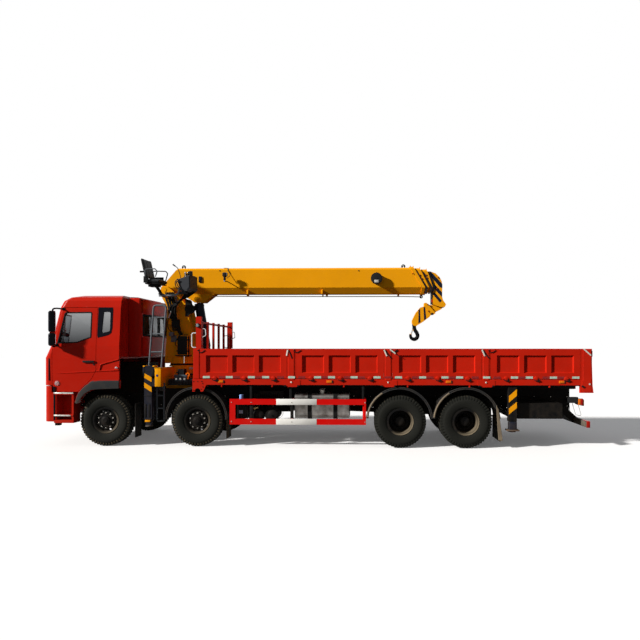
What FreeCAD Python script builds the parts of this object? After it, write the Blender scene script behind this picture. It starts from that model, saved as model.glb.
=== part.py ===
"""Truck-mounted crane: an eight-by-four drop-side truck with a telescopic crane behind its cab.

All lengths are millimetres. While a piece is being built, X is measured rearwards from the first
axle, Y from the truck's centre plane (minus is the driver's side) and Z up from the ground.
save() then moves every piece to the part's own frame, whose origin is on the ground under the
middle of the truck's length. Each node becomes one STEP file.
"""
import FreeCAD, Part
import math
import os

V = FreeCAD.Vector
os.makedirs("parts", exist_ok=True)

# ---------------------------------------------------------------- driving dimensions
FRONT_END = -1370             # foremost point of the cab's nose
REAR_END = 10137              # rearmost point, the tailgate's hinge barrels
ORIGIN_X = (FRONT_END + REAR_END) / 2

AXLE_X = [0, 1950, 6200, 7550]
TYRE_R = 542.5                # 11.00 R20
WHEEL_Z = TYRE_R
FRONT_TYRE_W = 290
REAR_TYRE_W = 274
FRONT_WHEEL_Y = 1020          # middle plane of a front tyre
OUTER_TWIN_Y = 1098           # middle plane of an outer twin tyre
INNER_TWIN_Y = 768
KINGPIN_Y = 890
RIM_R = 254
SPINDLE_R = 42
REAR_SPINDLE_R = 50
RUNNING = 0.05                # radial clearance of a running fit

RAIL_Y = 430                  # outer face of the chassis rails
RAIL_W = 90
RAIL_Z = (760, 1040)
SUBFRAME_Z = (1040, 1170)
FRAME_X = (-1130, 9950)

CAB_REAR = 330                # rear face of the cab's sides
CAB_WALL = 45
CAB_TILT = (-1250, 1150)      # X and Z of the axis that the cab tilts about
DOOR_HINGE = (-1084, -1226)   # X and Y of the left door's hinge line
DOOR_GAP = 8
MIRROR_STEM = (-985, -1390)   # X and Y of the upright tube that carries the left mirrors
MIRROR_HEIGHTS = [(2375, 2832), (2110, 2345)]
MIRROR_TURN = 30              # degrees, outer edge rearwards

BED_FRONT = 1944
BED_HALF = 1235               # outer face of gates, posts and rails
GATE_HINGE_Y = 1245
GATE_HINGE_Z = 1440
GATE_HINGE_R = 12
RAIL_BOTTOM = 1305
FLOOR_TOP = 1430
GATE_TOP = 2052
GATE_FIRST = 2037
GATE_LENGTH = 1815
GATE_PITCH = 2005
GATE_THICK = 50
TAILGATE_X = 10125            # hinge line of the tailgate

SLEW_X = 1300                 # slewing axis
SLEW_Z = 1722                 # underside of the turning column
BOOM_PIVOT = (900, 3390)
ROD_PIN = (1590, 3190)        # lift cylinder's upper pin, under the boom
BARREL_PIN = (1800, 1960)     # lift cylinder's foot, on the column
HOOK_PIN = (7232, 3050)
HOOK_EYE = (6585, 2352)          # middle of the hook's bowl

BEAM_X = (1025, 1175)         # outrigger beams
LEFT_BEAM_Z = (1267, 1427)
RIGHT_BEAM_Z = (1467, 1627)
LEG_X = (862, 1020)
REAR_LEG_X = (8424, 8586)
LEG_Y = (1085, 1233)


# ---------------------------------------------------------------- shapes
def box(x, y, z):
    """A block between three (low, high) pairs."""
    return Part.makeBox(x[1] - x[0], y[1] - y[0], z[1] - z[0], V(x[0], y[0], z[0]))


def rod(start, end, radius):
    """A round bar between two points."""
    a, b = V(*start), V(*end)
    return Part.makeCylinder(radius, (b - a).Length, a, b - a)


def face(points):
    """A flat polygon."""
    return Part.Face(Part.makePolygon([V(*p) for p in points] + [V(*points[0])]))


def side_plate(outline, y):
    """An outline of (X, Z) points given thickness across the truck, from y[0] to y[1]."""
    return face([(x, y[0], z) for x, z in outline]).extrude(V(0, y[1] - y[0], 0))


def cross_section(outline, x):
    """An outline of (Y, Z) points carried along the truck, from x[0] to x[1]."""
    return face([(x[0], y, z) for y, z in outline]).extrude(V(x[1] - x[0], 0, 0))


def turned(profile, x, z):
    """A profile of (Y, radius) points spun about the crosswise line through (x, z)."""
    flat = face([(x, y, z + r) for y, r in profile])
    return flat.revolve(V(x, 0, z), V(0, 1, 0), 360)


def tube(points, radius, bend=60):
    """A bent tube: straight runs joined by tangent arcs of radius bend, or less where a run is short."""
    p = [V(*q) for q in points]
    edges = []
    start = p[0]
    for before, corner, after in zip(p, p[1:], p[2:]):
        d1, d2 = (corner - before).normalize(), (after - corner).normalize()
        half_turn = d1.getAngle(d2) / 2
        cut = min(bend * math.tan(half_turn), 0.45 * (corner - before).Length, 0.45 * (after - corner).Length)
        r = cut / math.tan(half_turn)
        inward = (d2 - d1).normalize()
        middle = corner + inward * (r / math.cos(half_turn) - r)
        arc_start, arc_end = corner - d1 * cut, corner + d2 * cut
        edges.append(Part.LineSegment(start, arc_start).toShape())
        edges.append(Part.Arc(arc_start, middle, arc_end).toShape())
        start = arc_end
    edges.append(Part.LineSegment(start, p[-1]).toShape())
    ring = Part.Wire(Part.Circle(p[0], p[1] - p[0], radius).toShape())
    return Part.Wire(edges).makePipeShell([ring], True, False)


def join(shapes):
    """One solid from shapes that touch."""
    shapes = list(shapes)
    return shapes[0].fuse(shapes[1:]).removeSplitter() if len(shapes) > 1 else shapes[0]


def group(shapes):
    """Separate solids kept side by side in one node."""
    return Part.makeCompound([solid for shape in shapes for solid in shape.Solids])


def mirrored(shape):
    """The same piece on the truck's other side."""
    return shape.mirror(V(0, 0, 0), V(0, 1, 0))


def sided(shape, side):
    """A piece made for the left (minus Y) side, on the side that is asked for."""
    return shape if side == "left" else mirrored(shape)


def save(node, shape):
    """Move a piece to the part's frame and write it."""
    placed = shape.copy()
    placed.translate(V(-ORIGIN_X, 0, 0))
    placed.exportStep(f"parts/{node}.step")


# ---------------------------------------------------------------- chassis
def chassis_frame():
    """Two channel rails with cross members, the crane's subframe and the cab's tilt bracket."""
    web, flange = 10, 12
    rails = []
    for side in (-1, 1):
        outer, inner = side * RAIL_Y, side * (RAIL_Y - RAIL_W)
        y = tuple(sorted((outer, inner)))
        hollow = tuple(sorted((outer - side * web, inner)))
        rail = box(FRAME_X, y, RAIL_Z)
        rail = rail.cut(box((FRAME_X[0] - 1, FRAME_X[1] + 1), hollow,
                            (RAIL_Z[0] + flange, RAIL_Z[1] - flange)))
        rails.append(rail)
        rails.append(box((1000, FRAME_X[1]), tuple(sorted((outer, outer - side * 70))), SUBFRAME_Z))
    cross = [box((x, x + 90), (-RAIL_Y + web, RAIL_Y - web), (905, RAIL_Z[1] - 22))
             for x in (-1120, 1130, 2300, 3500, 4700, 5600, 6830, 8200, 9200, 9850)]
    tilt_x, tilt_z = CAB_TILT
    outline = [(-1130, 1040), (-960, 1040), (-1040, 1130), (tilt_x + 40, tilt_z + 34),
               (tilt_x - 36, tilt_z + 22), (tilt_x - 36, tilt_z - 30), (-1130, 900)]
    bracket = [side_plate(outline, y) for y in ((-400, -340), (340, 400))]
    bracket.append(rod((tilt_x, -470, tilt_z), (tilt_x, 470, tilt_z), 25))
    return join(rails + cross + bracket)


def engine():
    """Engine and gearbox as one plain mass with its mounts, under the cab and behind it."""
    block = box((-700, 520), (-325, 325), (640, 1740))
    gearbox = box((520, 1120), (-210, 210), (650, 1100))
    mounts = [box((x, x + 90), (-RAIL_Y + 10, RAIL_Y - 10), (790, 890)) for x in (-420, 300)]
    return join([block, gearbox] + mounts)


def front_axles():
    """Dropped beams of the two steered axles, with their leaf springs."""
    pieces = []
    for x in AXLE_X[:2]:
        y = KINGPIN_Y
        drop = [(-y, 500), (-y, 585), (-760, 585), (-600, 500), (600, 500), (760, 585),
                (y, 585), (y, 500), (740, 480), (620, 400), (-620, 400), (-740, 480)]
        beam = cross_section(drop, (x - 45, x + 45))
        bosses = [rod((x, s * y, 470), (x, s * y, 615), 52) for s in (-1, 1)]
        holes = [rod((x, s * y, 400), (x, s * y, 700), 25 + RUNNING) for s in (-1, 1)]
        springs = [leaf_spring(x, s * 430, 500, RAIL_Z[0]) for s in (-1, 1)]
        pieces.append(join([beam] + bosses + springs).cut(holes))
    return group(pieces)


def leaf_spring(x, y, base, rail_z):
    """A stack of leaves resting on an axle at height base, with hangers up to the rail above."""
    half_w, rise = 40, 120
    leaves = []
    for level, reach in enumerate((800, 640, 480, 320)):
        top = base + 96 - 24 * level
        tip = top + rise * (reach / 800) ** 2
        low = top + rise * (reach / 1600) ** 2
        outline = [(x - reach, tip), (x - reach / 2, low), (x, top), (x + reach / 2, low),
                   (x + reach, tip), (x + reach, tip - 24), (x + reach / 2, low - 24), (x, top - 24),
                   (x - reach / 2, low - 24), (x - reach, tip - 24)]
        leaves.append(side_plate(outline, (y - half_w, y + half_w)))
    saddle = box((x - 70, x + 70), (y - half_w - 8, y + half_w + 8), (base, base + 110))
    side = 1 if y > 0 else -1
    hang_y = tuple(sorted((side * 390, side * RAIL_Y)))
    hangers = [box((x + s * 790 - 25, x + s * 790 + 25), hang_y, (base + 170, rail_z)) for s in (-1, 1)]
    return join(leaves + [saddle] + hangers)


def rear_axles():
    """Two driven axle housings, the rocking springs on their trunnion and the propeller shafts."""
    pieces = []
    for x in AXLE_X[2:]:
        housing = rod((x, -570, WHEEL_Z), (x, 570, WHEEL_Z), 78)
        bowl = turned([(-170, 0), (-170, 90), (-120, 195), (-50, 235), (50, 235), (120, 195), (170, 90),
                       (170, 0)], x, WHEEL_Z)
        spindle = rod((x, -1090, WHEEL_Z), (x, 1090, WHEEL_Z), REAR_SPINDLE_R)
        seats = [box((x - 60, x + 60), tuple(sorted((s * 434, s * 508))), (560, 660)) for s in (-1, 1)]
        pieces += [housing, bowl, spindle] + seats
    middle = (AXLE_X[2] + AXLE_X[3]) / 2
    end = (AXLE_X[3] - AXLE_X[2]) / 2 + 90
    outline = [(middle - end, 650), (middle - 300, 640), (middle, 640), (middle + 300, 640),
               (middle + end, 650), (middle + end, 690), (middle + 250, 810), (middle - 250, 810),
               (middle - end, 690)]
    for s in (-1, 1):
        pieces.append(side_plate(outline, tuple(sorted((s * 434, s * 508)))))
        pieces.append(box((middle - 110, middle + 110), tuple(sorted((s * 345, s * RAIL_Y))),
                          (640, RAIL_Z[0])))
    trunnion = rod((middle, -520, 690), (middle, 520, 690), 45)
    flange = rod((1120, 0, 820), (1160, 0, 820), 72)
    shaft = rod((1150, 0, 820), (AXLE_X[2] - 180, 0, 640), 55)
    link = rod((AXLE_X[2] + 150, 0, 600), (AXLE_X[3] - 180, 0, 600), 50)
    return join(pieces + [trunnion, flange, shaft, link])


def knuckle(x):
    """Left steering knuckle: king pin, two lugs and the spindle that carries the wheel."""
    y = -KINGPIN_Y
    pin = rod((x, y, 440), (x, y, 648), 25)
    lugs = [box((x - 48, x + 48), (y - 85, y + 45), z) for z in ((440, 462), (623, 648))]
    plate = box((x - 62, x + 62), (y - 85, y - 58), (440, 648))
    spindle = rod((x, y - 60, WHEEL_Z), (x, -1140, WHEEL_Z), SPINDLE_R)
    arm = box((x - 190, x - 40), (y - 40, y + 20), (440, 462))
    return join([pin, plate, spindle, arm] + lugs)


def tyre(y, width, x):
    """One tyre as a ring of flat facets: straight sidewalls, rounded shoulders and a flat tread."""
    facets = 30
    half = width / 2
    stations = [(-0.36 * width, 281), (-half, 400), (-0.43 * width, TYRE_R), (0.43 * width, TYRE_R),
                (half, 400), (0.36 * width, 281)]
    stretch = 1 / math.cos(math.pi / facets)

    def ring(dy, radius):
        """The closed polygon at one station, with a facet's middle straight down."""
        turn = [2 * math.pi * (i + 0.5) / facets - math.pi / 2 for i in range(facets)]
        points = [V(x + radius * stretch * math.cos(a), y + dy, WHEEL_Z + radius * stretch * math.sin(a))
                  for a in turn]
        return Part.makePolygon(points + points[:1])

    body = Part.makeLoft([ring(dy, radius) for dy, radius in stations], True, True)
    bore = Part.makeLoft([ring(-width, RIM_R + 1), ring(width, RIM_R + 1)], True, True)
    return body.cut(bore)


def rim_barrel(y, width, x):
    """The rim's barrel with a flange at each bead."""
    bead = 0.36 * width
    section = [(-bead - 14, 236), (-bead - 14, 276), (-bead - 0.5, 276), (-bead - 0.5, RIM_R),
               (bead + 0.5, RIM_R), (bead + 0.5, 276), (bead + 14, 276), (bead + 14, 236)]
    return turned([(y + dy, r) for dy, r in section], x, WHEEL_Z)


def hand_holes(x, y, count, ring_r, hole_r):
    """Round holes through a wheel's disc."""
    holes = []
    for i in range(count):
        a = 2 * math.pi * (i + 0.5) / count
        centre = (x + ring_r * math.cos(a), WHEEL_Z + ring_r * math.sin(a))
        holes.append(rod((centre[0], y[0], centre[1]), (centre[0], y[1], centre[1]), hole_r))
    return holes


def nuts(x, y, count, ring_r, nut_r):
    """Wheel nuts on a circle."""
    return hand_holes(x, y, count, ring_r, nut_r)


def front_wheel(x):
    """Left front wheel: single tyre, rim with its disc near the outer side, and hub."""
    y = -FRONT_WHEEL_Y
    barrel = rim_barrel(y, FRONT_TYRE_W, x)
    disc = turned([(y - 78, 60), (y - 78, 150), (y - 96, 175), (y - 60, 240), (y - 44, 240),
                   (y - 78, 175), (y - 60, 150), (y - 60, 60)], x, WHEEL_Z)
    hub = turned([(y + 38, 43), (y + 38, 190), (y - 20, 190), (y - 20, 110), (y - 78, 120),
                  (y - 90, 120), (y - 90, 92), (y - 138, 84), (y - 146, 60), (y - 146, 0),
                  (y - 128, 0), (y - 128, 43)], x, WHEEL_Z)
    wheel = join([barrel, disc, hub] + nuts(x, (y - 108, y - 78), 10, 140, 15))
    wheel = wheel.cut(hand_holes(x, (y - 120, y - 40), 8, 206, 22))
    wheel = wheel.cut(rod((x, y + 60, WHEEL_Z), (x, y - 125, WHEEL_Z), SPINDLE_R + RUNNING))
    return group([tyre(y, FRONT_TYRE_W, x), wheel])


def rear_wheel(x):
    """Left rear wheel: two tyres, two dished rims bolted together and their hub."""
    outer, inner = -OUTER_TWIN_Y, -INNER_TWIN_Y
    face_y = (outer + inner) / 2
    barrels = [rim_barrel(y, REAR_TYRE_W, x) for y in (outer, inner)]
    dish = turned([(face_y - 12, 70), (face_y - 12, 190), (outer + 90, 240), (outer + 70, 240),
                   (face_y - 36, 190), (face_y - 36, 70)], x, WHEEL_Z)
    inner_dish = turned([(face_y - 12, 70), (face_y - 12, 200), (inner - 90, 240), (inner - 70, 240),
                         (face_y + 12, 185), (face_y + 12, 70)], x, WHEEL_Z)
    hub = turned([(face_y + 300, 52), (face_y + 300, 205), (face_y + 60, 205), (face_y + 12, 165),
                  (face_y - 36, 165), (face_y - 36, 118), (face_y - 150, 112), (face_y - 178, 90),
                  (face_y - 178, 0), (face_y - 168, 0), (face_y - 168, 52)], x, WHEEL_Z)
    wheel = join(barrels + [dish, inner_dish, hub] + nuts(x, (face_y - 62, face_y - 36), 10, 142, 15))
    wheel = wheel.cut(rod((x, face_y + 320, WHEEL_Z), (x, face_y - 165, WHEEL_Z),
                          REAR_SPINDLE_R + RUNNING))
    return group([tyre(outer, REAR_TYRE_W, x), tyre(inner, REAR_TYRE_W, x), wheel])


def front_bumper():
    """Pressed bumper bowed across the truck, with lamp wells, a towing eye and both step boxes."""
    base, top, skin = 525, 1268, 30
    nose, corner, corner_y = -1355, -1285, 1100
    shell = bowed_plan(nose, corner, corner_y, 1235, -1050, 0).extrude(V(0, 0, top - base))
    core = bowed_plan(nose, corner, corner_y, 1235, -1000, skin).extrude(V(0, 0, top - base + 40))
    shell.translate(V(0, 0, base))
    core.translate(V(0, 0, base - 20))
    lip = box((-1104, -1000), (-1300, 1300), (1140, 1300))
    air = box((-1400, -1200), (-560, 560), (640, 820))
    wells = [box((-1400, -1190), tuple(sorted((s * 720, s * 1080))), (760, 980)) for s in (-1, 1)]
    shell = shell.cut([core, lip, air] + wells)
    backing = box((-1330, -1312), (-600, 600), (620, 840))
    lamps = [box((-1312, -1200), tuple(sorted((s * 700, s * 1100))), (740, 1000)) for s in (-1, 1)]
    lamps = [lamp.common(bowed_plan(nose, corner, corner_y, 1235, -1150, skin - 4).extrude(V(0, 0, 1100)))
             for lamp in lamps]
    posts = [box((-1326, FRAME_X[0]), tuple(sorted((s * 342, s * 400))), (790, 880)) for s in (-1, 1)]
    eye = box((-1310, -1240), (-420, -380), (440, 560)).cut(
        rod((-1275, -430, 480), (-1275, -370, 480), 20))
    stem = box((-1310, -1130), (-420, -380), (540, 620))
    hanger = box((-1170, -1132), (-420, -345), (540, 880))
    steps = [sided(step_box(), side) for side in ("left", "right")]
    ties = [box((-1100, -1040), tuple(sorted((s * 1130, s * 1215))), (800, 900)) for s in (-1, 1)]
    hold = [box((-900, -840), tuple(sorted((s * RAIL_Y, s * 1000))), (840, 900)) for s in (-1, 1)]
    gaps = [sided(opening(DOOR_OUTLINE, DOOR_GAP + 2, (-1300, -1150)), side) for side in ("left", "right")]
    return join([shell, backing, eye, stem, hanger] + lamps + posts + steps + ties + hold).cut(gaps)


def step_box():
    """Left step box under the door: a red shell round a step well with two treads."""
    x = (-1050, -632)
    outer = box(x, (-1238, -980), (496, 1136))
    well = box((x[0] + 50, x[1] - 40), (-1240, -1010), (672, 1092))
    lower = box((x[0] + 50, x[1] - 40), (-1240, -1040), (560, 640))
    treads = [box((x[0] + 8, x[1] - 8), (-1250, -1200), z) for z in ((640, 668), (1092, 1132))]
    return join([outer.cut(well).cut(lower)] + treads)


# ---------------------------------------------------------------- cab
def bowed_plan(nose, corner, corner_y, half, rear, inset):
    """A closed plan outline: bowed front, rounded corners, straight sides and a straight rear."""
    nose, corner, rear = nose + inset, corner + inset, rear - inset
    corner_y, half = corner_y - inset, half - inset
    shoulder = corner + (half - corner_y) * 1.1
    mid_y = corner_y + (half - corner_y) * 0.68
    mid_x = corner + (shoulder - corner) * 0.30
    p = [V(shoulder, -half, 0), V(corner, -corner_y, 0), V(corner, corner_y, 0),
         V(shoulder, half, 0), V(rear, half, 0), V(rear, -half, 0)]
    edges = [Part.Arc(p[0], V(mid_x, -mid_y, 0), p[1]).toShape(),
             Part.Arc(p[1], V(nose, 0, 0), p[2]).toShape(),
             Part.Arc(p[2], V(mid_x, mid_y, 0), p[3]).toShape(),
             Part.LineSegment(p[3], p[4]).toShape(),
             Part.LineSegment(p[4], p[5]).toShape(),
             Part.LineSegment(p[5], p[0]).toShape()]
    return Part.Face(Part.Wire(edges))


# height, nose, corner, corner's Y, half width, rear
CAB_LEVELS = [
    (1143, FRONT_END, -1294, 1100, 1226, CAB_REAR),
    (1860, FRONT_END, -1294, 1100, 1235, CAB_REAR),
    (2110, -1290, -1180, 1095, 1228, CAB_REAR),
    (2930, -1120, -1012, 1030, 1150, CAB_REAR),
    (3070, -1060, -960, 980, 1120, CAB_REAR),
    (3150, -950, -860, 900, 1050, CAB_REAR - 12),
    (3195, -760, -690, 760, 900, CAB_REAR - 60),
    (3215, -520, -460, 520, 640, CAB_REAR - 160),
]


def cab_body(inset):
    """The cab's closed form, lofted straight between its levels and shrunk by inset."""
    wires = []
    for height, nose, corner, corner_y, half, rear in CAB_LEVELS:
        plan = bowed_plan(nose, corner, corner_y, half, rear, inset)
        z = height if height < 2000 else height - inset * min(1.0, (height - 2000) / 1000)
        plan.translate(V(0, 0, z))
        wires.append(plan.OuterWire)
    return Part.makeLoft(wires, True, True)


ARCH_TOP = [(-604, 928), (-560, 1075), (-481, 1192), (-330, 1325), (-167, 1389), (CAB_REAR, 1404)]
ARCH_UNDER = [(CAB_REAR, 1225), (-178, 1204), (-300, 1168), (-410, 1096), (-470, 1020), (-556, 905)]
DOOR_OUTLINE = [(-1090, 1300), (-1090, 2125), (-1075, 2160), (-936, 2880), (-905, 2920), (-172, 2920),
                (-164, 2905), (-164, 1610), (-250, 1440), (-345, 1338), (-498, 1203), (-560, 1150),
                (-1005, 1150), (-1022, 1166)]
DOOR_WINDOW = [(-995, 2160), (-870, 2790), (-838, 2826), (-300, 2832), (-276, 2806), (-270, 2290),
               (-560, 2180)]
QUARTER_WINDOW = [(-92, 2828), (-80, 2840), (122, 2836), (134, 2824), (136, 2420), (124, 2402),
                  (-78, 2348), (-90, 2358)]
PRESSED_FIELD = [(CAB_REAR + 10, 1835), (-50, 1725), (-86, 1589), (CAB_REAR + 10, 1567)]
WINDSCREEN_Y = 985
NOSE_OUTLINE = [(-1500, 1000), (-1098, 1000), (-1098, 2122), (-1083, 2162), (-944, 2884), (-905, 2928),
                (-905, 2935), (-1500, 2935)]
REAR_WALL_Z = (1870, 2960)
BULGE_Y = 620
BULGE_X = 460
BULGE_TOP = 3185
REAR_WINDOW_Y = 520
REAR_WINDOW_Z = (2360, 2842)
FLOOR_Z = (1300, 1330)
TUNNEL_Z = (1840, 1870)


def grown(outline, step):
    """The same outline pushed outwards by step, for an opening with a gap round its panel."""
    wire = Part.makePolygon([V(x, 0, z) for x, z in outline] + [V(outline[0][0], 0, outline[0][1])])
    return Part.Face(wire.makeOffset2D(step, 2, False, False, True))


def opening(outline, step, y):
    """A prism through the wall for an outline grown by step."""
    flat = grown(outline, step) if step else face([(x, 0, z) for x, z in outline])
    flat.translate(V(0, y[0], 0))
    return flat.extrude(V(0, y[1] - y[0], 0))


def cab_pieces():
    """The cab's panels, cut from one shell where the real panels meet."""
    outer, inner = cab_body(0), cab_body(CAB_WALL)
    below = box((-2000, CAB_REAR - CAB_WALL), (-1300, 1300), (1000, 1200))
    shell = outer.cut(inner).cut(below.common(inner))
    nose = opening(NOSE_OUTLINE, 0, (-1500, 1500))
    left_y, right_y = (-1500, -900), (900, 1500)

    roof = shell.common(box((-2000, 1000), (-1500, 1500), (2935, 3400)))
    lower = shell.common(box((-2000, 1000), (-1500, 1500), (1000, 2935)))
    front = lower.common(nose).common(box((-2000, 0), (-1500, 1500), (1285, 2935)))
    rest = lower.cut(nose)
    rear_zone = box((CAB_REAR - CAB_WALL, 1000), (-1190, 1190), (1000, 2935))
    sides = rest.cut(rear_zone)

    # sides
    arch = ARCH_TOP + [(CAB_REAR + 50, 1404), (CAB_REAR + 50, 900), (-604, 900)]
    under_arch = opening(arch, 0, (-1500, 1500))
    sides = sides.cut(under_arch)
    sides = sides.cut(box((-1300, -600), (-1500, 1500), (900, 1285)))
    flare_outline = ARCH_TOP + ARCH_UNDER
    left = sides.common(box((-2000, 1000), (-1500, 0), (900, 3400)))
    left = left.cut(opening(DOOR_OUTLINE, DOOR_GAP, left_y))
    left = left.cut(opening(QUARTER_WINDOW, 0, left_y))
    left = left.cut(opening(PRESSED_FIELD, 0, (-1300, -1225)))
    left = max(left.Solids, key=lambda s: s.Volume)
    flare = opening(flare_outline, 0, (-1247, -1150))
    left = join([left, flare])
    cab_sides = group([left, mirrored(left)])

    # front: windscreen hole, grille slots
    windscreen = cross_section([(-WINDSCREEN_Y - 62, 2135), (-WINDSCREEN_Y, 2900), (WINDSCREEN_Y, 2900),
                                (WINDSCREEN_Y + 62, 2135)], (-1500, -900))
    front = front.cut(windscreen)
    slots = []
    for row in range(4):
        z = 1400 + row * 108
        slots.append(box((-1500, -1150), (-820, 820), (z, z + 78)))
    front = front.cut(slots)
    back_plate = box((-1300, -1286), (-860, 860), (1370, 1850))
    mid_posts = [box((-1345, -1290), (y - 12, y + 12), (1390, 1820)) for y in (-420, 0, 420)]
    front = join([front, back_plate] + mid_posts)

    # rear wall with its bulge and window
    wall = box((CAB_REAR - CAB_WALL, CAB_REAR), (-1190, 1190), (REAR_WALL_Z[0], 2935)).common(outer)
    bulge_out = [(CAB_REAR - 5, -BULGE_Y - 60), (BULGE_X, -BULGE_Y), (BULGE_X, BULGE_Y),
                 (CAB_REAR - 5, BULGE_Y + 60)]
    bulge_in = [(CAB_REAR - CAB_WALL - 5, -BULGE_Y + 10), (BULGE_X - CAB_WALL, -BULGE_Y + 50),
                (BULGE_X - CAB_WALL, BULGE_Y - 50), (CAB_REAR - CAB_WALL - 5, BULGE_Y - 10)]
    z0, z1 = REAR_WALL_Z[0], 2935
    bulge = face([(x, y, z0) for x, y in bulge_out]).extrude(V(0, 0, z1 - z0))
    hollow = face([(x, y, z0 + 45) for x, y in bulge_in]).extrude(V(0, 0, z1 - z0 - 90))
    window = box((200, 600), (-REAR_WINDOW_Y, REAR_WINDOW_Y), REAR_WINDOW_Z)
    rear_wall = join([wall, bulge]).cut(hollow).cut(window)
    ribs = [box((CAB_REAR - 2, CAB_REAR + 14), (y - 22, y + 22), (1990, 2860))
            for y in (-1060, -880, 880, 1060)]
    rear_wall = join([rear_wall] + ribs)

    # roof
    roof = max(roof.Solids, key=lambda s: s.Volume)
    roof_bulge = face([(x, y, 2935) for x, y in bulge_out]).extrude(V(0, 0, BULGE_TOP - 2935))
    roof = join([roof, roof_bulge.cut(cab_body(CAB_WALL))])
    hatch = box((-560, -60), (-300, 300), (3195, 3222))
    roof = join([roof, hatch])

    # floor
    half = 1226 - CAB_WALL
    tunnel_half = 385
    low = box((-1215, -360), (-half, half), FLOOR_Z).common(outer)
    high = box((-390, CAB_REAR - CAB_WALL), (-half, half), TUNNEL_Z)
    riser = box((-390, -360), (-half, half), (FLOOR_Z[0], TUNNEL_Z[1]))
    hump = box((-840, -360), (-tunnel_half - 30, tunnel_half + 30), (FLOOR_Z[0], TUNNEL_Z[1]))
    tunnel = box((-810, CAB_REAR + 10), (-tunnel_half, tunnel_half), (1200, TUNNEL_Z[0]))
    floor = join([low, high, riser, hump]).cut(tunnel).cut(under_arch)
    floor = floor.cut([cab_sides, front])
    tilt_x, tilt_z = CAB_TILT
    arms = []
    for y in (-470, 405):
        outline = [(tilt_x - 34, tilt_z - 10), (tilt_x - 26, tilt_z + 10), (-1140, FLOOR_Z[0] + 6),
                   (-980, FLOOR_Z[0] + 6), (-1070, 1225), (tilt_x + 34, tilt_z - 10)]
        arm = side_plate(outline, (y, y + 65))
        arm = join([arm, rod((tilt_x, y, tilt_z), (tilt_x, y + 65, tilt_z), 40)])
        arms.append(arm.cut(rod((tilt_x, y - 5, tilt_z), (tilt_x, y + 70, tilt_z), 25 + RUNNING)))
    floor = join([max(floor.Solids, key=lambda s: s.Volume)] + arms)

    # glass
    pane = cab_body(14).cut(cab_body(20))
    screen = pane.common(windscreen)
    quarter = [pane.common(opening(QUARTER_WINDOW, 0, y)) for y in (left_y, right_y)]
    rear_pane = box((BULGE_X - 26, BULGE_X - 20), (-REAR_WINDOW_Y, REAR_WINDOW_Y), REAR_WINDOW_Z)
    glass = group([screen] + quarter + [rear_pane])

    # doors
    skin = outer.cut(inner).common(box((-2000, 1000), (-1500, 0), (1000, 2935)))
    door_blank = skin.common(opening(DOOR_OUTLINE, 0, left_y))
    door_blank = max(door_blank.Solids, key=lambda s: s.Volume)
    door_window = opening(DOOR_WINDOW, 0, left_y)
    door_glass = pane.common(door_window)
    door = door_blank.cut(door_window)
    return {"cab_roof": roof, "cab_front": front, "cab_sides": cab_sides, "cab_rear_wall": rear_wall,
            "cab_floor": floor, "cab_glass": glass, "door": door, "door_glass": door_glass}


def door_fittings():
    """What the left door carries: hinge pins, outside handle and the mirror on its two arms."""
    x, y = DOOR_HINGE
    pins = [rod((x, y, z), (x, y, z + 90), 5) for z in (1380, 1960)]
    handle = join([box((-430, -190), (-1262, -1252), (1770, 1800)),
                   box((-430, -400), (-1256, -1228), (1770, 1800)),
                   box((-220, -190), (-1256, -1228), (1770, 1800))])
    stem_x, stem_y = MIRROR_STEM
    arms = [tube([(-890, -1150, 2890), (-950, -1290, 2895), (stem_x, stem_y, 2880),
                  (stem_x, stem_y, 2780)], 14),
            tube([(-1000, -1215, 2128), (stem_x, stem_y, 2085), (stem_x, stem_y, 2200)], 14)]
    half_thick, half_wide = 50, 95
    housings = []
    for z in MIRROR_HEIGHTS:
        housing = box((stem_x - half_thick, stem_x + half_thick), (stem_y - half_wide, stem_y + half_wide), z)
        housing.rotate(V(stem_x, stem_y, 0), V(0, 0, 1), MIRROR_TURN)
        housings.append(housing)
    stem = rod((stem_x, stem_y, 2100), (stem_x, stem_y, 2800), 12)
    return join(housings + [stem] + arms), handle, pins


def cab_interior():
    """Two seats, the dashboard and the steering wheel on its column."""
    seats = []
    for side in (-1, 1):
        y = side * 690
        base = box((-720, -400), (y - 190, y + 190), (FLOOR_Z[1], 1760))
        pan = box((-800, -395), (y - 250, y + 250), (1760, 1880))
        back = side_plate([(-500, 1880), (-395, 1880), (-300, 2480), (-400, 2480)], (y - 240, y + 240))
        head = side_plate([(-392, 2480), (-300, 2480), (-275, 2680), (-360, 2680)], (y - 140, y + 140))
        seats.append(join([base, pan, back, head]))
    dash = side_plate([(-1170, FLOOR_Z[1]), (-1130, FLOOR_Z[1]), (-1110, 1700), (-1000, 1800),
                       (-990, 2000), (-1040, 2050), (-1080, 2050), (-1160, 1900)], (-1020, 1020))
    column = tube([(-1090, -690, 1700), (-930, -690, 2010)], 28)
    wheel = Part.makeTorus(215, 18, V(-905, -690, 2058), V(0.46, 0, 0.89))
    spokes = [rod((-905, -690 - 205, 2058), (-905, -690 + 205, 2058), 14),
              rod((-930, -690, 2010), (-903, -690, 2062), 40)]
    return group(seats + [join([dash, column, wheel] + spokes)])


# ---------------------------------------------------------------- along the chassis
def arc_guard(x, z, r, thick, y, start, end):
    """A mudguard bent round a wheel, from one angle to another, in degrees from straight back."""
    outer = Part.makeCylinder(r, y[1] - y[0], V(x, y[0], z), V(0, 1, 0), 360)
    inner = Part.makeCylinder(r - thick, y[1] - y[0] + 2, V(x, y[0] - 1, z), V(0, 1, 0), 360)
    ring = outer.cut(inner)
    reach = 2 * r
    wedge = [(x, z)]
    steps = 6
    for i in range(steps + 1):
        a = math.radians(start + (end - start) * i / steps)
        wedge.append((x + reach * math.cos(a), z + reach * math.sin(a)))
    return ring.common(side_plate(wedge, y))


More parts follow.
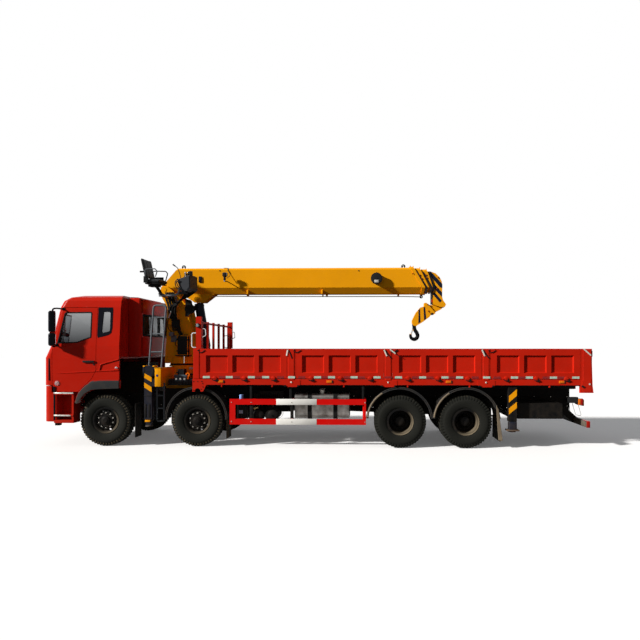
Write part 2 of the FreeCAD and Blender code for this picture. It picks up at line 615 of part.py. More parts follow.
def mudguards():
    """Guards over the second, third and fourth axles, and rubber flaps behind the wheels."""
    thick, stay_z = 14, 1000
    pieces = []
    # axle, centre's offset along and up, radius, inner and outer Y, first and last angle, flap's foot
    table = [(1, -15, 52, 660, 860, 1160, -2, 182, 175),
             (2, -12, 25, 680, 600, 1222, 4, 176, None),
             (3, 14, 25, 690, 600, 1222, 4, 176, 150)]
    for axle, dx, dz, r, inner, outer, start, end, foot in table:
        x, z = AXLE_X[axle] + dx, WHEEL_Z + dz
        parts = [arc_guard(x, z, r, thick, (-outer, -inner), start, end)]
        reach = math.sqrt((r - thick / 2) ** 2 - (stay_z - z) ** 2)
        parts += [rod((x + s * reach, -outer + 40, stay_z), (x + s * reach, -RAIL_Y, stay_z), 18)
                  for s in (-1, 1)]
        if foot:
            parts.append(box((x + r - 24, x + r - 10), (-outer, -inner), (foot, z + 40)))
        pieces.append(join(parts))
    flap = box((628, 642), (-1150, -860), (185, 900))
    stay = box((628, 660), (-900, -RAIL_Y), (860, 900))
    pieces.append(join([flap, stay]))
    return group(pieces + [mirrored(piece) for piece in pieces])


def side_guards():
    """Two painted rails between the second and third axles, on posts from the chassis."""
    y = (-1240, -1205)
    rails = [box((2659, 5495), y, z) for z in ((893, 1009), (480, 597))]
    posts = [box(x, y, (480, 1009)) for x in ((2659, 2780), (5455, 5495))]
    stays = []
    for x in (3080, 3925, 5425):
        stays.append(box((x, x + 60), (-1205, -1175), (500, 1000)))
        stays.append(box((x, x + 60), (-1205, -RAIL_Y), (930, 990)))
    left = join(rails + posts + stays)
    return group([left, mirrored(left)])


def fuel_tank():
    """Aluminium tank with rounded edges, a filler neck and two straps."""
    block = box((3995, 5137), (-1080, -480), (588, 1103))
    block = block.makeFillet(70, [e for e in block.Edges if abs(e.tangentAt(e.FirstParameter).x) > 0.9])
    neck = rod((4560, -900, 1095), (4560, -900, 1140), 50)
    straps = []
    for x in (4290, 4830):
        strap = box((x, x + 70), (-1088, -472), (580, 1111))
        edges = [e for e in strap.Edges if abs(e.tangentAt(e.FirstParameter).x) > 0.9]
        straps.append(strap.makeFillet(76, edges))
    hangers = [box((x, x + 70), (-500, -RAIL_Y), (820, 1000)) for x in (4290, 4830)]
    return join([block, neck] + straps + hangers)


def side_equipment():
    """What is bolted beside the frame and the crane's foot: battery box, air tanks, valve box, rear box,
    silencer, the crane's lever console and its two ladders."""
    battery = box((2790, 3015), (-1130, -520), (590, 900))
    battery_arm = box((2830, 2970), (-560, -RAIL_Y), (780, 880))
    tanks = [rod((x, -1120, 650), (x, -480, 650), 122) for x in (3205, 3500)]
    tank_bar = box((3180, 3525), (-560, -RAIL_Y), (764, 800))
    valves = box((3190, 3715), (-900, -RAIL_Y), (1000, 1038)).fuse(
        box((3190, 3715), (-900, -640), (1000, 1145)))
    rear_box = box((8640, 9560), (-1090, -520), (600, 920))
    rear_arm = box((8900, 9300), (-560, -RAIL_Y), (800, 900))
    silencer = rod((2750, 760, 720), (3650, 760, 720), 210)
    pipe = rod((3600, 760, 720), (3800, 760, 720), 60)
    silencer_arm = box((3000, 3400), (RAIL_Y, 620), (800, 860))
    right_box = box((4100, 5200), (500, 1090), (620, 980))
    right_arm = box((4400, 4900), (RAIL_Y, 520), (840, 960))
    return group([join([battery, battery_arm]), join(tanks + [tank_bar]), valves.removeSplitter(),
                  join([rear_box, rear_arm]), join([silencer, pipe, silencer_arm]),
                  join([right_box, right_arm]), lever_console()] + ladders())


# ---------------------------------------------------------------- load bed
def bed_frame():
    """Load bed: floor on cross beams, side rails, posts, front board and the header rack on it."""
    end = 10106
    floor = box((BED_FRONT, end), (-1180, 1180), (1395, FLOOR_TOP))
    rails = [box((BED_FRONT, end), tuple(sorted((s * BED_HALF, s * 1165))), (RAIL_BOTTOM, 1424))
             for s in (-1, 1)]
    beams = [box((BED_FRONT + 60, end - 20), tuple(sorted((s * 430, s * 350))), (SUBFRAME_Z[1], 1300))
             for s in (-1, 1)]
    cross = [box((x, x + 70), (-1180, 1180), (1290, 1400)) for x in range(2100, 10000, 562)]
    tail = box((end - 60, end), (-BED_HALF, BED_HALF), (1290, 1424))
    # front edge, rear edge, foot and top of each post
    posts = [(start + GATE_LENGTH + 6, start + GATE_PITCH - 6, 1300, GATE_TOP)
             for start in gate_starts()[:-1]]
    shoes = [sided(post_shoe(x0, x1), side) for x0, x1, _, _ in posts for side in ("left", "right")]
    posts.append((BED_FRONT - 49, GATE_FIRST - 6, 1300, GATE_TOP + 8))
    posts.append((gate_starts()[-1] + GATE_LENGTH + 6, end, 1150, GATE_TOP))
    stakes = [box((x0, x1), tuple(sorted((s * BED_HALF, s * 1165))), (foot, top))
              for x0, x1, foot, top in posts for s in (-1, 1)]
    board = box((BED_FRONT, BED_FRONT + 46), (-1180, 1180), (1300, GATE_TOP))
    feet = [sided(front_bracket(), side) for side in ("left", "right")]
    return join([floor, tail, board] + rails + beams + cross + stakes + shoes + feet + header_rack())


def post_shoe(x0, x1):
    """Left plate over a post's foot, wider than the post, with bevelled lower corners."""
    outline = [(x0 - 85, 1400), (x0 - 85, 1305), (x0 + 18, 1262), (x1 + 18, 1262), (x1 + 95, 1305),
               (x1 + 95, 1400)]
    return side_plate(outline, (-BED_HALF - 6, -BED_HALF + 35))


def front_bracket():
    """Left plate under the bed's front post: bevelled behind, with a half-round notch at its foot."""
    foot, notch_x, notch_r = 1161, BED_FRONT + 44, 58
    outline = [(BED_FRONT - 64, 1424), (BED_FRONT - 64, foot), (BED_FRONT + 157, foot),
               (BED_FRONT + 245, 1340), (BED_FRONT + 245, 1424)]
    y = (-BED_HALF, -BED_HALF + 28)
    notch = rod((notch_x, y[0] - 1, foot + 12), (notch_x, y[1] + 1, foot + 12), notch_r)
    return side_plate(outline, y).cut(notch)


def header_rack():
    """The rack on the front board: two box posts, a top tube and six bars."""
    x = (BED_FRONT + 8, BED_FRONT + 120)
    mid = BED_FRONT + 60
    posts = [box(x, tuple(sorted((s * 1235, s * 1155))), (GATE_TOP + 7, 2722)) for s in (-1, 1)]
    rail = rod((mid, -1160, 2600), (mid, 1160, 2600), 22)
    bars = [box((BED_FRONT + 40, mid + 25), (y - 22, y + 22), (GATE_TOP - 400, 2640))
            for y in (-1025, -615, -205, 205, 615, 1025)]
    return posts + [rail] + bars


def gate_starts():
    """Front edge of each side gate."""
    return [GATE_FIRST + GATE_PITCH * i for i in range(4)]


def side_gate(start):
    """Left side gate: a pressed panel with three recesses, hung on barrels at its lower edge."""
    x0, x1 = start, start + GATE_LENGTH
    z0, z1 = GATE_HINGE_Z - 2, GATE_TOP
    panel = box((x0, x1), (-BED_HALF, -BED_HALF + GATE_THICK), (z0, z1))
    margin, rib, depth, skin = 125, 95, 38, 6
    back = (-BED_HALF + depth + skin, -BED_HALF + GATE_THICK + 1)
    width = (GATE_LENGTH - 2 * margin - 2 * rib) / 3
    for i in range(3):
        a = x0 + margin + i * (width + rib)
        panel = panel.cut(recess((a, a + width), (1555, 1917), depth, 16))
        panel = panel.cut(box((a - 20, a + width + 20), back, (1535, 1937)))
    barrels = [rod((x, -GATE_HINGE_Y, GATE_HINGE_Z), (x + 70, -GATE_HINGE_Y, GATE_HINGE_Z), GATE_HINGE_R)
               for x in (x0 + 240, x0 + GATE_LENGTH / 2 - 35, x1 - 310)]
    return join([panel] + barrels)


def recess(x, z, depth, slope):
    """A sunk field with sloping edges in the left gate's outer face."""
    y = -BED_HALF - 1
    wide = Part.makePolygon([V(x[0], y, z[0]), V(x[1], y, z[0]), V(x[1], y, z[1]), V(x[0], y, z[1]),
                             V(x[0], y, z[0])])
    y += depth + 1
    deep = Part.makePolygon([V(x[0] + slope, y, z[0] + slope), V(x[1] - slope, y, z[0] + slope),
                             V(x[1] - slope, y, z[1] - slope), V(x[0] + slope, y, z[1] - slope),
                             V(x[0] + slope, y, z[0] + slope)])
    return Part.makeLoft([wide, deep], True, True)


def tailgate():
    """Rear gate, hung on barrels at its lower edge."""
    z0, z1 = GATE_HINGE_Z - 2, GATE_TOP
    half = 1150
    x0 = TAILGATE_X - 19 - GATE_THICK + 12
    panel = box((x0, x0 + GATE_THICK), (-half, half), (z0, z1))
    for y in (-1060, -340, 380):
        panel = panel.cut(box((x0 + 26, x0 + GATE_THICK + 1), (y, y + 680), (1555, 1917)))
    barrels = [rod((TAILGATE_X, y, GATE_HINGE_Z), (TAILGATE_X, y + 80, GATE_HINGE_Z), GATE_HINGE_R)
               for y in (-900, -40, 820)]
    return join([panel] + barrels)


def rear_outrigger():
    """Cross tube under the rails behind the last axle, with a leg's outer tube at each end."""
    x0, x1 = REAR_LEG_X
    pieces = [box((x0 + 16, x1 - 16), (-LEG_Y[0] - 5, LEG_Y[0] + 5), (640, RAIL_Z[0]))]
    for side in ("left", "right"):
        tube_outer = box(REAR_LEG_X, (-LEG_Y[1], -LEG_Y[0]), (560, 1262))
        pieces.append(sided(tube_outer, side))
    bores = [sided(box((x0 + 16, x1 - 16), (-LEG_Y[1] + 16, -LEG_Y[0] - 16), (500, 1240)), side)
             for side in ("left", "right")]
    return join(pieces).cut(bores)


def rear_underrun():
    """Bar on two stays behind the last axle, a lamp cluster at each side and a plate holder."""
    bar = box((10035, 10100), (-1150, 1150), (430, 556))
    parts = [bar]
    for s in (-1, 1):
        stay_y = tuple(sorted((s * RAIL_Y, s * (RAIL_Y + 34))))
        parts.append(side_plate([(9640, 760), (9640, 860), (9760, 860), (10100, 556), (10035, 430),
                                 (9960, 480)], stay_y))
        parts.append(box((9890, 9995), tuple(sorted((s * RAIL_Y, s * 700))), (890, 960)))
        parts.append(box((9985, 10023), tuple(sorted((s * 640, s * 1040))), (866, 995)))
    plate = box((9990, 10004), (-260, 260), (640, 780))
    plate_arm = box((9940, 9995), (-60, 60), (700, 960))
    return join(parts + [join([plate, plate_arm])])


# ---------------------------------------------------------------- crane
def crane_base():
    """Fixed base: cross-wise outrigger box, pedestal, slewing ring and spigot."""
    wall = 12
    tubes = []
    for beam_z in (LEFT_BEAM_Z, RIGHT_BEAM_Z):
        outer = box((BEAM_X[0] - 5 - wall, BEAM_X[1] + 5 + wall), (-1080, 1080),
                    (beam_z[0] - 5 - wall, beam_z[1] + 5 + wall))
        bore = box((BEAM_X[0] - 5, BEAM_X[1] + 5), (-1081, 1081), (beam_z[0] - 5, beam_z[1] + 5))
        tubes.append((outer, bore))
    housing = join([outer for outer, _ in tubes])
    pedestal = join([box((1190, 1800), (-430, 430), (1170, 1470)),
                     box((1008, 1192), (-430, 430), (1170, 1260)),
                     side_plate([(1190, 1470), (1800, 1470), (1740, 1640), (1190, 1660)], (-430, 430)),
                     rod((SLEW_X, 0, 1600), (SLEW_X, 0, SLEW_Z - 42), 360).cut(
                         box((800, 1192 - 4), (-500, 500), (1500, 1652)))])
    ring = rod((SLEW_X, 0, SLEW_Z - 47), (SLEW_X, 0, SLEW_Z - 6), 335)
    spigot = rod((SLEW_X, 0, SLEW_Z - 100), (SLEW_X, 0, 1880), 150)
    body = join([housing, pedestal, ring, spigot])
    body = body.cut([bore for _, bore in tubes])
    return body


def ladders():
    """Upper ladder with a hoop, on feet on the outrigger box, and a lower one hung under the box."""
    r, y = 17, -1000
    box_top, box_bottom = RIGHT_BEAM_Z[1] + 17, LEFT_BEAM_Z[0] - 17
    low, top, lean = box_top + r, 2977, 102
    width = 270
    upper = tube([(1060, y, low), (865, y, low), (865 + lean, y, top), (865 + width + lean, y, top),
                  (865 + width, y, low - 8)], r)
    rungs = []
    for z in (1985, 2370, 2720):
        shift = 865 + lean * (z - low) / (top - low)
        rungs.append(rod((shift, y, z), (shift + width, y, z), r - 3))
    feet = [box((x - 30, x + 30), (y - 25, y + 25), (box_top, box_top + 10)) for x in (1040, 1137)]
    y = -1055
    lower = tube([(1057, y, box_bottom), (1057, y, 520), (1212, y, 520), (1212, y, 1330)], r)
    steps = [rod((1057, y, z), (1212, y, z), r - 3) for z in (790, 1060, 1225)]
    hold = box((1192, 1214), (y - 12, y + 12), (1285, 1325))
    return [join([upper] + rungs + feet), join([lower, hold] + steps)]


def lever_console():
    """Black valve block beside the crane's foot, with a gauge box on it and five levers."""
    block = box((1250, 1790), (-930, -500), (1272, 1400))
    arm = box((1600, 1700), (-505, -430), (1300, 1380))
    gauges = box((1390, 1650), (-945, -860), (1359, 1488))
    levers = [rod((x, -700, 1390), (x, -700, 1500), 9) for x in (1560, 1600, 1640, 1680, 1720)]
    return join([block, arm, gauges] + levers)


def outrigger_beam(side):
    """Sliding beam with the outer tube of its leg on the front of its end."""
    z = LEFT_BEAM_Z if side == "left" else RIGHT_BEAM_Z
    beam = box(BEAM_X, (-1233, 960), z)
    tube_outer = box(LEG_X, (-LEG_Y[1], -LEG_Y[0]), (560, 1659))
    bore = box((LEG_X[0] + 16, LEG_X[1] - 16), (-LEG_Y[1] + 16, -LEG_Y[0] - 16), (500, 1640))
    link = box((LEG_X[1] - 4, BEAM_X[0] + 2), (-LEG_Y[1] + 20, -LEG_Y[0] - 20), z)
    cap = side_plate([(832, 1580), (832, 1655), (862, 1692), (1062, 1692), (1092, 1655), (1092, 1580)],
                     (-LEG_Y[1] - 7, -LEG_Y[0] - 1))
    shape = join([beam, tube_outer, link, cap]).cut(bore)
    return sided(shape, side)


def outrigger_leg(x, top, side):
    """Inner tube and foot of a leg."""
    y = (-LEG_Y[1] + 21, -LEG_Y[0] - 21)
    inner = box((x[0] + 21, x[1] - 21), y, (440, top))
    mid_x, mid_y = (x[0] + x[1]) / 2, (y[0] + y[1]) / 2
    foot = rod((mid_x, mid_y, 422), (mid_x, mid_y, 448), 74)
    return sided(join([inner, foot]), side)


def rear_leg(side):
    """Inner tube and foot of a rear leg."""
    y = (-LEG_Y[1] + 21, -LEG_Y[0] - 21)
    x = REAR_LEG_X
    inner = box((x[0] + 21, x[1] - 21), y, (370, 1200))
    mid_x, mid_y = (x[0] + x[1]) / 2, (y[0] + y[1]) / 2
    foot = rod((mid_x, mid_y, 342), (mid_x, mid_y, 374), 74)
    return sided(join([inner, foot]), side)


def slewing_column():
    """Turning column: turntable, tapered box, fork for the boom's foot, winch, oil tank, valve block and
    cylinder foot."""
    disc = rod((SLEW_X, 0, SLEW_Z), (SLEW_X, 0, 1860), 350)
    socket = rod((SLEW_X, 0, SLEW_Z - 10), (SLEW_X, 0, 1890), 150 + RUNNING)
    body = side_plate([(905, SLEW_Z), (1600, SLEW_Z), (1610, 2060), (1390, 3060), (965, 3060),
                       (945, 2300), (914, 1977)], (-250, 250))
    pin_x, pin_z = BOOM_PIVOT
    outline = [(965, 3000), (1400, 3000), (1390, 3060), (1130, 3330), (pin_x + 70, pin_z + 80),
               (pin_x - 80, pin_z + 60), (pin_x - 100, pin_z - 60), (860, 3180)]
    cheeks = [side_plate(outline, y) for y in ((-256, -206), (206, 256))]
    pin = rod((pin_x, -264, pin_z), (pin_x, 264, pin_z), 45)
    foot_x, foot_z = BARREL_PIN
    outline = [(1560, 1840), (1850, 1840), (foot_x + 68, foot_z), (foot_x + 40, foot_z + 62),
               (foot_x - 40, foot_z + 62), (1560, 2250)]
    ears = [side_plate(outline, y) for y in ((-130, -94), (94, 130))]
    foot_pin = rod((foot_x, -136, foot_z), (foot_x, 136, foot_z), 35)
    winch = [rod((1466, -250, 2960), (1466, -135, 2960), 88), rod((1440, -250, 3110), (1440, -150, 3110), 58),
             side_plate([(1385, 2790), (1440, 2790), (1520, 2890), (1520, 3040), (1480, 3160),
                         (1385, 3160)], (-262, -240))]
    tank = box((1227, 1475), (-370, -245), (1909, 2350))
    valves = box((985, 1215), (-320, -245), (2600, 2860))
    shape = join([disc, body, pin, foot_pin, tank, valves] + winch + cheeks + ears + operator_supports())
    return shape.cut(socket)


def operator_supports():
    """Tubes that carry the seat and the lever console beside the boom."""
    y = -640
    return [tube([(990, -240, 3200), (990, y, 3225), (1440, y, 3225)], 24),
            rod((1200, -240, 3000), (1300, y, 3222), 17)]


def operator_station():
    """Operator's seat with arm rests on its post, and the lever console with its knobs."""
    y = -750
    post = rod((1010, y + 60, 3252), (905, y + 60, 3470), 30)
    pan = side_plate([(690, 3470), (1120, 3462), (1120, 3530), (700, 3560)], (y - 230, y + 230))
    back = side_plate([(690, 3540), (800, 3540), (735, 3860), (660, 3975), (590, 3995), (580, 3960)],
                      (y - 220, y + 220))
    rests = []
    for s in (-1, 1):
        side_y = y + s * 250
        rests.append(tube([(680, side_y - s * 20, 3720), (930, side_y, 3735), (1120, side_y, 3720),
                           (1090, side_y, 3500)], 13))
        rests.append(rod((1090, side_y, 3500), (1090, side_y - s * 40, 3500), 13))
    console = box((1376, 1660), (-870, -560), (3305, 3600))
    slope = side_plate([(1340, 3700), (1700, 3700), (1700, 3600), (1340, 3540)], (-900, -500))
    knobs = [rod((x, yy, 3520), (x, yy, 3690), 14) for x in (1560, 1620) for yy in (-800, -720, -640)]
    base = box((1400, 1460), (-700, -600), (3249, 3310))
    seat = join([post, pan, back] + rests)
    panel = join([console.cut(slope), base] + knobs)
    floor_plate = box((960, 1060), (-730, -620), (3249, 3262))
    return group([join([seat, floor_plate]), panel])


BOOM_TOP = 3890
# half widths of a boom section's top flat, side and bottom flat, then heights of its shoulder,
# knee and bottom; each inner section is the same outline shrunk by one step
SECTION = (150, 200, 110, 3846, 3440, 3305)
SECTION_STEP = 26
# where each section's collar ends at its top and at its knee, from the main section inwards
COLLAR_ENDS = [(6556, 6815), (6692, 6906), (6842, 6998)]


def boom_outline(step):
    """A boom section's (Y, Z) outline, shrunk by step."""
    top_half, side_half, low_half, shoulder, knee, bottom = SECTION
    a, b, c = top_half - step * 0.9, side_half - step, low_half - step * 0.8
    return [(-a, BOOM_TOP - step), (a, BOOM_TOP - step), (b, shoulder - step), (b, knee + step * 0.4),
            (c, bottom + step), (-c, bottom + step), (-b, knee + step * 0.4), (-b, shoulder - step)]


def boom_part(step, profile):
    """The outline shrunk by step, carried along X and trimmed by a side profile of (X, Z) points."""
    xs = [x for x, _ in profile]
    return cross_section(boom_outline(step), (min(xs) - 10, max(xs) + 10)).common(
        side_plate(profile, (-300, 300)))


def collar_profile(order, back):
    """Side profile of one collar, slanting like the sections' ends; back is its width at the top."""
    top_x, knee_x = COLLAR_ENDS[order]
    lift = 40
    slope = (knee_x - top_x) / (BOOM_TOP - SECTION[4])
    return [(top_x - back - slope * lift, BOOM_TOP + lift), (top_x - slope * lift, BOOM_TOP + lift),
            (knee_x, SECTION[4]), (knee_x - 34, 3262), (knee_x - back * 0.75 - 34, 3262),
            (knee_x - back * 0.75, SECTION[4])]


def boom_base():
    """Main boom section with its foot, the ears for the lift cylinder and its collar."""
    pin_x, pin_z = BOOM_PIVOT
    wall = 12
    profile = [(1185, BOOM_TOP), (798, 3452), (815, 3390), (850, 3318), (960, 3300), (6740, 3300),
               (6740, 3440), (6490, BOOM_TOP)]
    body = boom_part(0, profile)
    hollow = cross_section(boom_outline(wall), (1500, 7000))
    collar = boom_part(-18, collar_profile(0, 90))
    boss = rod((pin_x, -200, pin_z), (pin_x, 200, pin_z), 92)
    ears = []
    ear_x, ear_z = ROD_PIN
    for s in (-1, 1):
        y = tuple(sorted((s * 84, s * 122)))
        ears.append(side_plate([(1195, 3312), (1480, 3160), (1540, 3112), (1760, 3112), (2010, 3302),
                                (2010, 3312)], y))
        ears.append(rod((ear_x, s * 84, ear_z), (ear_x, s * 140, ear_z), 55))
    guides = [box((x, x + 40), (-40, 40), (3262, 3306)) for x in (4560, 6200)]
    guides = [guide.cut(rod((3000, 0, 3280), (7000, 0, 3280), 12)) for guide in guides]
    lugs = [Part.makeTorus(38, 9, V(x, -100, BOOM_TOP + 34), V(0, 1, 0)) for x in (1290, 6330)]
    reel = rod((5720, -255, 3630), (5720, -198, 3630), 118)
    shape = join([body, collar]).cut(hollow)
    shape = join([shape, boss, reel] + ears + guides + lugs)
    return shape.cut(rod((pin_x, -210, pin_z), (pin_x, 210, pin_z), 45 + RUNNING))


def inner_section(number):
    """Telescoping section 2, 3 or 4; the first two end in a collar and the last carries the head."""
    order = number - 1
    step, wall = order * SECTION_STEP, 10
    start = 1560 + 60 * order
    if number == 4:
        profile = [(start, 3200), (start, 4000), (6890, 4000), (7090, 3440), (7060, 3350), (7060, 3200)]
        tube_part = boom_part(step, profile).cut(cross_section(boom_outline(step + wall), (0, 6800)))
        return join([tube_part] + boom_head(step))
    top_x, knee_x = COLLAR_ENDS[order]
    profile = [(start, 3200), (start, 4000), (top_x - 90, 4000), (knee_x - 60, 3440), (knee_x - 80, 3200)]
    gap = 24
    width = top_x - COLLAR_ENDS[order - 1][0] - gap
    collar = boom_part(step - 14, collar_profile(order, width))
    hollow = cross_section(boom_outline(step + wall), (0, 8000))
    return join([boom_part(step, profile), collar]).cut(hollow)


def boom_head(step):
    """Boom head: two cheek plates round the sheave, with the pin that the hook block hangs on."""
    a = SECTION[1] - step
    outline = [(6880, 3792), (6935, 3806), (7057, 3766), (7151, 3676), (7199, 3582), (7214, 3487),
               (7207, 3232), (7232, 3153), (7296, 3060), (7270, 3000), (7180, 2998), (7000, 3058),
               (7000, 3330), (7022, 3462)]
    cheeks = [side_plate(outline, y) for y in ((-a, -a + 22), (a - 22, a))]
    nose = side_plate([(6980, 3700), (7040, 3770), (7140, 3670), (7190, 3560), (7204, 3480), (7000, 3480)],
                      (-a + 20, a - 20))
    sheave = rod((7110, -70, 3280), (7110, 70, 3280), 88)
    axle = rod((7110, -a, 3280), (7110, a, 3280), 25)
    pin_x, pin_z = HOOK_PIN
    pin = rod((pin_x, -a, pin_z), (pin_x, a, pin_z), 22)
    return cheeks + [nose, sheave, axle, pin]


def hook_block():
    """Hook block drawn up under the boom head: link, flange, sheave block and a plain hook."""
    pin_x, pin_z = HOOK_PIN
    link = side_plate([(pin_x + 40, pin_z - 8), (pin_x + 8, pin_z + 40), (7010, 3046), (6872, 3052),
                       (7020, 2862), (7190, 2950)], (-66, 66))
    flange = side_plate([(6812, 3096), (6862, 3096), (7066, 2862), (7018, 2828), (6950, 2860),
                         (6806, 3020)], (-100, 100))
    block = side_plate([(6790, 3010), (6860, 2990), (6960, 2830), (6930, 2778), (6785, 2668),
                        (6622, 2566), (6560, 2584), (6533, 2640), (6533, 2700), (6619, 2872),
                        (6717, 2990)], (-88, 88))
    shape = join([link, flange, block]).cut(rod((pin_x, -80, pin_z), (pin_x, 80, pin_z), 22 + RUNNING))
    eye_x, eye_z = HOOK_EYE
    shank = rod((eye_x + 2, 0, eye_z + 250), (eye_x + 2, 0, eye_z + 120), 34)
    neck = tube([(eye_x + 2, 0, eye_z + 170), (eye_x + 32, 0, eye_z + 95), (eye_x + 78, 0, eye_z + 30)], 30)
    hook = Part.makeTorus(80, 27, V(eye_x, 0, eye_z), V(0, 1, 0))
    mouth = side_plate([(eye_x, eye_z), (eye_x - 125, eye_z + 62), (eye_x - 120, eye_z + 160),
                        (eye_x + 60, eye_z + 160), (eye_x + 60, eye_z + 60)], (-60, 60))
    return join([shape, shank, neck, hook.cut(mouth)])


def lift_direction():
    """Unit vector from the cylinder's foot pin to its rod pin, and their distance."""
    dx, dz = ROD_PIN[0] - BARREL_PIN[0], ROD_PIN[1] - BARREL_PIN[1]
    length = math.hypot(dx, dz)
    return (dx / length, dz / length), length


def on_cylinder(distance):
    """A point on the lift cylinder's axis, this far from its foot pin."""
    (ux, uz), _ = lift_direction()
    return (BARREL_PIN[0] + ux * distance, 0, BARREL_PIN[1] + uz * distance)


def lift_barrel():
    """Lift cylinder's barrel with its foot eye and gland."""
    _, length = lift_direction()
    eye = rod((BARREL_PIN[0], -86, BARREL_PIN[1]), (BARREL_PIN[0], 86, BARREL_PIN[1]), 62)
    body = rod(on_cylinder(40), on_cylinder(length - 150), 88)
    bore = rod(on_cylinder(120), on_cylinder(length - 190), 70)
    gland = rod(on_cylinder(length - 200), on_cylinder(length - 140), 50 + RUNNING)
    pin = rod((BARREL_PIN[0], -90, BARREL_PIN[1]), (BARREL_PIN[0], 90, BARREL_PIN[1]), 35 + RUNNING)
    return join([eye, body]).cut(bore).cut(gland).cut(pin)


def lift_rod():
    """Chromed rod with the eye that reaches the boom's ears."""
    _, length = lift_direction()
    bar = rod(on_cylinder(170), on_cylinder(length - 40), 50)
    eye = rod((ROD_PIN[0], -70, ROD_PIN[1]), (ROD_PIN[0], 70, ROD_PIN[1]), 60)
    return join([bar, eye])


# ---------------------------------------------------------------- write the nodes
def main():
    """Build every node and write it."""
    for node, make in [("chassis_frame", chassis_frame), ("engine", engine),
                       ("front_axles", front_axles), ("rear_axles", rear_axles),
                       ("front_bumper", front_bumper), ("mudguards", mudguards),
                       ("side_guards", side_guards), ("fuel_tank", fuel_tank),
                       ("side_equipment", side_equipment), ("bed_frame", bed_frame),
                       ("rear_outrigger", rear_outrigger), ("rear_underrun", rear_underrun),
                       ("crane_base", crane_base),
                       ("cab_interior", cab_interior), ("tailgate", tailgate),
                       ("slewing_column", slewing_column), ("operator_station", operator_station),
                       ("boom_base", boom_base), ("hook_block", hook_block),
                       ("lift_barrel", lift_barrel), ("lift_rod", lift_rod)]:
        save(node, make())
    for number in (2, 3, 4):
        save(f"boom_section_{number}", inner_section(number))

    panels = cab_pieces()
    for node in ("cab_roof", "cab_front", "cab_sides", "cab_rear_wall", "cab_floor", "cab_glass"):
        save(node, panels[node])
    mirror, handle, pins = door_fittings()
    door = join([panels["door"], mirror, handle] + pins)
    for side in ("left", "right"):
        save(f"door_{side}", sided(door, side))
        save(f"door_glass_{side}", sided(panels["door_glass"], side))

    for side in ("left", "right"):
        for axle in (1, 2):
            save(f"knuckle_{axle}_{side}", sided(knuckle(AXLE_X[axle - 1]), side))
            save(f"wheel_{axle}_{side}", sided(front_wheel(AXLE_X[axle - 1]), side))
        for axle in (3, 4):
            save(f"wheel_{axle}_{side}", sided(rear_wheel(AXLE_X[axle - 1]), side))
        for index, start in enumerate(gate_starts(), 1):
            save(f"gate_{index}_{side}", sided(side_gate(start), side))
        save(f"outrigger_beam_{side}", outrigger_beam(side))
        save(f"outrigger_leg_{side}", outrigger_leg(LEG_X, 1600, side))
        save(f"rear_leg_{side}", rear_leg(side))


main()
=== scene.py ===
"""Truck-mounted crane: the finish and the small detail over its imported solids.

Everything is in metres in the part's own frame: X runs back from the middle of the truck's length,
minus Y is the driver's side and Z is up from the ground.
"""
import bmesh
import bpy
import math
import numpy as np
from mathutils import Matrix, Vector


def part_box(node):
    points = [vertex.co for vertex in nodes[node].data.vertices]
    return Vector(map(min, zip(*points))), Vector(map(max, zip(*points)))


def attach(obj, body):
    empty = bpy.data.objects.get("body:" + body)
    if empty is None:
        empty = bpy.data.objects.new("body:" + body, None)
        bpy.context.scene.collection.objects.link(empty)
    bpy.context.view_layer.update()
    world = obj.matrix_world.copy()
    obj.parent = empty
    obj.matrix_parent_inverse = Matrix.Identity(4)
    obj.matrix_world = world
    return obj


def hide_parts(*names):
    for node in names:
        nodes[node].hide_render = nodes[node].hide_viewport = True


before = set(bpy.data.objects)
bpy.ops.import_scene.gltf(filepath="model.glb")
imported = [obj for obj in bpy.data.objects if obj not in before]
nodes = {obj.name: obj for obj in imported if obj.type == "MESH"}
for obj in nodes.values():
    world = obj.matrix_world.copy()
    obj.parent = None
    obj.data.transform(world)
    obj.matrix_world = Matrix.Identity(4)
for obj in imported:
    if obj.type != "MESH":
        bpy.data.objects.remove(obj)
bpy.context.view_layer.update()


# ------------------------------------------------------------------ camera, floor and light
# A pale studio floor, one hard key lamp from the front left and above, and an even white surround, at
# a level where a colour shows about as it is written.
def linear(hex_colour):
    """An sRGB hex colour as linear RGBA: each channel is (c / 12.92) or ((c + 0.055) / 1.055) ^ 2.4."""
    channels = np.array([int(hex_colour[i:i + 2], 16) for i in (1, 3, 5)]) / 255
    low, high = channels / 12.92, ((channels + 0.055) / 1.055) ** 2.4
    return (*np.where(channels <= 0.04045, low, high), 1.0)


def add(tree, kind, inputs=None, **settings):
    """Adds a shader node with its settings; an input is a value, or an output of another node."""
    made = tree.nodes.new("ShaderNode" + kind)
    for name, value in settings.items():
        setattr(made, name, value)
    for name, value in (inputs or {}).items():
        if isinstance(value, bpy.types.NodeSocket):
            tree.links.new(value, made.inputs[name])
        else:
            made.inputs[name].default_value = value
    return made


def material(name, **surface):
    """A material with one Principled surface; returns it, its tree and the surface's node."""
    made = bpy.data.materials.new(name)
    made.use_nodes = True
    made.node_tree.nodes.clear()
    tree = made.node_tree
    shader = add(tree, "BsdfPrincipled", {key.replace("_", " "): value for key, value in surface.items()})
    add(tree, "OutputMaterial", {"Surface": shader.outputs[0]})
    return made, tree, shader


def ramp(tree, value, dark, light, low=0.0, high=1.0):
    """A shader value's colour: dark up to low, light from high, and blended between them."""
    tone = add(tree, "ValToRGB", {"Fac": value})
    for element, position, colour in zip(tone.color_ramp.elements, (low, high), (dark, light)):
        element.position = position
        element.color = linear(colour) if isinstance(colour, str) else colour
    return tone.outputs["Color"]


def relieve(tree, shader, height, strength, distance):
    """Bump on a surface, from a shader value as its height, over a distance in metres."""
    bump = add(tree, "Bump", {"Height": height, "Strength": strength, "Distance": distance})
    tree.links.new(bump.outputs[0], shader.inputs["Normal"])


